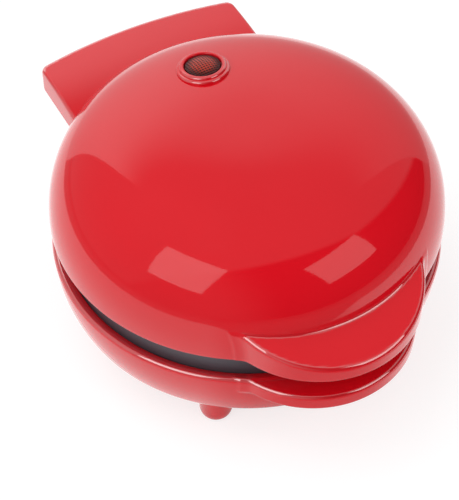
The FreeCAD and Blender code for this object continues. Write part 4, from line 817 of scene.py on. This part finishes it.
def makeFoot(name, cx, cy):
    # a turned cone with a recess and an elliptic edge below; its upper ring is drawn up into the bowl
    e, floorZ, padR = foot["edge"], foot["floorZ"], foot["padR"]
    arc = np.linspace(-quarter, 0, 13)
    across = foot["radius"] - padR - foot["flat"]
    edgeR = foot["radius"] - across + across * np.cos(arc)
    lowR = np.concatenate([[foot["hubR"], padR, padR, padR + foot["lip"]], edgeR])
    lowZ = np.concatenate([[foot["padTop"]] * 2, [floorZ + foot["lip"], floorZ],
                           floorZ + e + e * np.sin(arc)])
    t = roundTurn(foot["turns"])
    k = np.linspace(0, 1, 13)[None, 1:]
    sideR = foot["radius"] + (foot["topR"] - foot["radius"]) * k
    x, y = cx + np.cos(t) * sideR, cy + np.sin(t) * sideR
    top = bowlOutside(np.hypot(x, y)) + foot["sunk"]
    side = np.stack([x, y, floorZ + e + (top - floorZ - e) * k], -1)
    capR = np.array([foot["capRadii"]])
    x, y = cx + np.cos(t) * capR, cy + np.sin(t) * capR
    cap = np.stack([x, y, bowlOutside(np.hypot(x, y)) + foot["capSunk"]], -1)
    base = lathe(np.stack([lowR, lowZ], 1), foot["turns"], (cx, cy))
    points = np.concatenate([base, side, cap], 1)
    highest = float(bowlOutside(math.hypot(cx, cy))) + foot["capSunk"]
    poles = np.array([[cx, cy, foot["padTop"]], [cx, cy, highest]])
    makePiece(name, points, "base", sharp=40.0, poles=poles)


for index, (sx, sy) in enumerate(((-1, -1), (1, -1), (1, 1), (-1, 1))):
    makeFoot("foot%d" % (index + 1), sx * foot["x"], sy * foot["y"])
print("feet made")


gland = dict(z=19.0, padR=9.0, bore=5.6, faceY=75.10, backY=65.5, edge=0.8, edgeStart=0.2, turns=72)


def makeGlandPad():
    # a turned ring about a line along y, buried in the bowl's wall at its inner end
    e, padR, faceY, backY = gland["edge"], gland["padR"], gland["faceY"], gland["backY"]
    a = np.linspace(gland["edgeStart"], quarter, 6)
    r = np.concatenate([[gland["bore"], gland["bore"], padR - e], padR - e + e * np.sin(a), [padR]])
    y = np.concatenate([[backY, faceY, faceY], faceY - e + e * np.cos(a), [backY]])
    x, depth, along = np.moveaxis(lathe(np.stack([r, y], 1), gland["turns"]), -1, 0)
    makePiece("glandPad", np.stack([x, along, gland["z"] - depth], -1), "base")


makeGlandPad()
print("gland pad made")


# nodes that keep their own surface: the angle under which edges shade smoothly, and the bevels in mm
bodies = frame["record"]["behaviour"]["bodies"]
bodyOf = {name: bodyName for bodyName, names in bodies.items() for name in names}
rebuilt = {"lid_cover", "base_housing", "lamp_lens"}
plainAngle = 34.0
smoothAngles = {"lower_plate": 24.0, "upper_plate": 24.0, "foot_pads": 40.0, "hinge_sleeve": 45.0,
                "base_leads": 45.0, "lid_lead": 45.0}
bevels = {"lower_plate": 0.35, "upper_plate": 0.35, "base_plate_ring": 0.3}
joinWithin, flatWithin, bevelFrom = 0.002, 0.5, 40.0  # mm, degrees, degrees


def slotOf(name):
    # the slot is the node's material name, without the number Blender may add
    return nodes[name].material_slots[0].material.name.split(".")[0]


def smoothCopy(name, angle):
    # the node's own surface, joined up so that its curves shade smoothly and its edges can be bevelled
    work = bmesh.new()
    work.from_mesh(nodes[name].data)
    bmesh.ops.remove_doubles(work, verts=work.verts, dist=joinWithin * mm)
    if name in bevels:
        bmesh.ops.dissolve_limit(work, angle_limit=math.radians(flatWithin), verts=work.verts,
                                 edges=work.edges)
    mesh = bpy.data.meshes.new(name + "Smooth")
    work.to_mesh(mesh)
    work.free()
    mesh.shade_smooth()
    mesh.set_sharp_from_angle(angle=math.radians(angle))
    slotName = slotOf(name)
    mesh.materials.clear()
    mesh.materials.append(slotMaterials[slotName])
    obj = linkObject(name + "Smooth", mesh)
    if name in bevels:
        bevel = obj.modifiers.new("edges", "BEVEL")
        bevel.width = bevels[name] * mm
        bevel.segments = 2
        bevel.limit_method = "ANGLE"
        bevel.angle_limit = math.radians(bevelFrom)
        bevel.harden_normals = True
    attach(obj, bodyOf[name])
    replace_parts(obj, name)


for name in sorted(set(nodes) - rebuilt):
    smoothCopy(name, smoothAngles.get(name, plainAngle))
for name in sorted(rebuilt):
    nodes[name].material_slots[0].material = slotMaterials[slotOf(name)]
print("nodes carried over")


# metres; in reflections the floor is a bright pool with a dim notch towards the front
floor = dict(size=6.0, plain=0.92, shaded=(0.347, 0.362, 0.362, 1), glow=0.74, poolIn=0.39,
             poolOut=0.44, poolGain=0.30, pastPool=-0.66, notch=0.18, dim=-0.62,
             notchWay=(-0.1736, -0.9848, 0.0), notchFrom=0.80, notchFull=0.99)


def makeFloor():
    # a pale floor: part of its brightness is its own towards the camera, the rest carries the shadow
    half = floor["size"] / 2
    corners = [(-half, -half, 0), (half, -half, 0), (half, half, 0), (-half, half, 0)]
    mesh = bpy.data.meshes.new("floor")
    mesh.from_pydata(corners, [], [(0, 1, 2, 3)])
    material, tree, _ = startMaterial("floorPale")
    tree.nodes.clear()
    ray = add(tree, "LightPath").outputs
    seen = maths(tree, "MAXIMUM", ray["Is Camera Ray"], ray["Is Glossy Ray"])
    seen = maths(tree, "MAXIMUM", seen, ray["Is Transmission Ray"])
    place = add(tree, "TexCoord").outputs["Object"]
    ahead = vectors(tree, "DOT_PRODUCT", vectors(tree, "NORMALIZE", place), floor["notchWay"])
    notch = mapRange(tree, ahead, floor["notchFrom"], floor["notchFull"], 0.0, 1.0)
    reach = maths(tree, "MULTIPLY_ADD", notch, floor["notch"], vectors(tree, "LENGTH", place))
    pool = mapRange(tree, reach, floor["poolIn"], floor["poolOut"],
                    floor["poolGain"], floor["pastPool"])
    dimmed = maths(tree, "MULTIPLY_ADD", notch, floor["dim"], pool)
    level = maths(tree, "MULTIPLY_ADD", ray["Is Glossy Ray"], dimmed, floor["glow"], use_clamp=True)
    plain = add(tree, "BsdfDiffuse", {"Color": grey(floor["plain"])})
    shaded = add(tree, "BsdfDiffuse", {"Color": floor["shaded"]})
    glow = add(tree, "Emission", {"Strength": level})
    both = add(tree, "AddShader", {0: shaded.outputs[0], 1: glow.outputs[0]})
    mix = add(tree, "MixShader", {0: seen, 1: plain.outputs[0], 2: both.outputs[0]})
    add(tree, "OutputMaterial", {"Surface": mix.outputs[0]})
    mesh.materials.append(material)
    linkObject("floor", mesh)


room = dict(soft=0.56, back=0.47, ceiling=0.46, left=0.32, right=0.03, leftX=-0.75, rightX=-0.10,
            cornerSlope=-0.8, frontSlope=0.5, cornerCut=-0.33, blur=0.05)


def makeWorld():
    # even soft light all round; reflections see a pale ceiling with a straight front edge and a cut
    # corner, and below it a dim room that is darkest on the right
    world = bpy.data.worlds.new("studio")
    bpy.context.scene.world = world
    world.use_nodes = True
    tree = world.node_tree
    x, y, z = add(tree, "SeparateXYZ", {0: add(tree, "TexCoord").outputs["Generated"]}).outputs
    corner = maths(tree, "MAXIMUM", maths(tree, "MULTIPLY_ADD", z, room["cornerSlope"], x), 0.0)
    front = maths(tree, "MULTIPLY_ADD", z, room["frontSlope"], y)
    edge = maths(tree, "MULTIPLY_ADD", corner, room["cornerCut"], front)
    walls = add(tree, "Mix", {
        "Factor": mapRange(tree, edge, -room["blur"], room["blur"], 0.0, 1.0),
        "A": mapRange(tree, x, room["leftX"], room["rightX"], room["left"], room["right"]),
        "B": room["ceiling"],
    }, data_type="FLOAT")
    mix = add(tree, "Mix", {
        "Factor": add(tree, "LightPath").outputs["Is Glossy Ray"],
        "A": grey(room["soft"]),
        "B": walls.outputs["Result"],
    }, data_type="RGBA")
    fill(tree, tree.nodes["Background"], {"Color": mix.outputs["Result"], "Strength": 1.0})


card = dict(radius=0.55, toe=0.17, toeH=0.06, start=6.0, end=115.5, columns=49, full=0.47, top=0.86,
            heights=[0.001, 0.004, 0.02, 0.06, 0.43, 0.65, 0.86], left=1.60, right=0.72, leftX=0.10,
            rightX=0.55, foot=0.66, footH=0.40)


def makeCard():
    # a bent white card behind, seen only in reflections: an arc carried up, with a toe that sweeps in
    # along the floor by the cube of the drop; it fades to the room's brightness at its upper edge
    angle = np.radians(np.linspace(card["start"], card["end"], card["columns"]))[:, None]
    height = np.array([card["heights"]])
    sweep = card["radius"] - card["toe"] * np.clip(1 - height / card["toeH"], 0, 1) ** 3
    x, y = np.cos(angle) * sweep, np.sin(angle) * sweep
    points = np.stack([x, y, height + 0 * x], -1)
    mesh = bpy.data.meshes.new("backCard")
    faces = gridFaces(card["columns"], height.size, False, False)
    mesh.from_pydata(points.reshape(-1, 3).tolist(), [], faces.tolist())
    material, tree, _ = startMaterial("cardWhite")
    tree.nodes.clear()
    x, _, z = add(tree, "SeparateXYZ", {0: add(tree, "TexCoord").outputs["Object"]}).outputs
    across = mapRange(tree, x, card["rightX"], card["leftX"], card["right"], card["left"])
    rising = mapRange(tree, z, 0.0, card["footH"], card["foot"], 1.0)
    fade = mapRange(tree, z, card["full"], card["top"], 1.0, 0.0)
    over = maths(tree, "SUBTRACT", maths(tree, "MULTIPLY", across, rising), room["back"])
    level = maths(tree, "MULTIPLY_ADD", over, fade, room["back"])
    add(tree, "OutputMaterial", {"Surface": add(tree, "Emission", {"Strength": level}).outputs[0]})
    mesh.materials.append(material)
    obj = linkObject("backCard", mesh)
    obj.visible_camera = obj.visible_diffuse = obj.visible_shadow = obj.visible_transmission = False


# metres: a wide light above that shows in no reflection, and two softboxes in front
lights = dict(
    keyTop=dict(place=(-0.45, 0.35, 1.3), target=(0, 0, 0.05), width=1.0, height=1.0,
                radiance=1.9, mirrored=False),
    boxLeft=dict(place=(-0.62, -0.263, 0.644), target=(-0.05, -0.04, 0.08), width=0.47, height=0.52,
                 radiance=1.7),
    boxRight=dict(place=(0.372, -0.634, 0.59), target=(0.02, -0.06, 0.08), width=0.48, height=0.42,
                  radiance=1.5),
)


def areaLight(name, place, target, width, height, radiance, mirrored=True):
    # a rectangle turned to its target; its power is the radiance times pi times the area
    light = bpy.data.lights.new(name, "AREA")
    light.shape = "RECTANGLE"
    light.size, light.size_y = width, height
    light.energy = radiance * math.pi * width * height
    obj = linkObject(name, light)
    obj.location = place
    obj.rotation_euler = (Vector(target) - Vector(place)).to_track_quat("-Z", "Y").to_euler()
    obj.visible_glossy = mirrored


# degrees and mm, found from the photograph's outlines; focal length and frame in pixels
view = dict(turn=-28.23, height=49.19, distance=664.92, aimZ=43.0, right=-6.72, up=-11.15,
            focal=1700, frame=500, sensor=36.0, farthest=100)


def makeCamera():
    # turned and raised about the object, then moved sideways and down with its target
    turn, height = math.radians(view["turn"]), math.radians(view["height"])
    level = math.cos(height)
    back = Vector((math.sin(turn) * level, -math.cos(turn) * level, math.sin(height)))
    right = Vector((math.cos(turn), math.sin(turn), 0))
    up = back.cross(right)
    target = Vector((0, axisY, view["aimZ"])) + right * view["right"] + up * view["up"]
    camera = bpy.data.cameras.new("camera")
    camera.sensor_width = view["sensor"]
    camera.sensor_fit = "AUTO"
    camera.lens = view["sensor"] * view["focal"] / view["frame"]
    camera.clip_end = view["farthest"]
    turned = Matrix((right, up, back)).transposed().to_4x4()
    turned.translation = (target + back * view["distance"]) * mm
    obj = linkObject("camera", camera)
    obj.matrix_world = turned
    bpy.context.scene.camera = obj


makeFloor()
makeWorld()
makeCard()
for name, settings in lights.items():
    areaLight(name, **settings)
makeCamera()
bpy.context.scene.view_settings.view_transform = "Standard"
print("stage made")
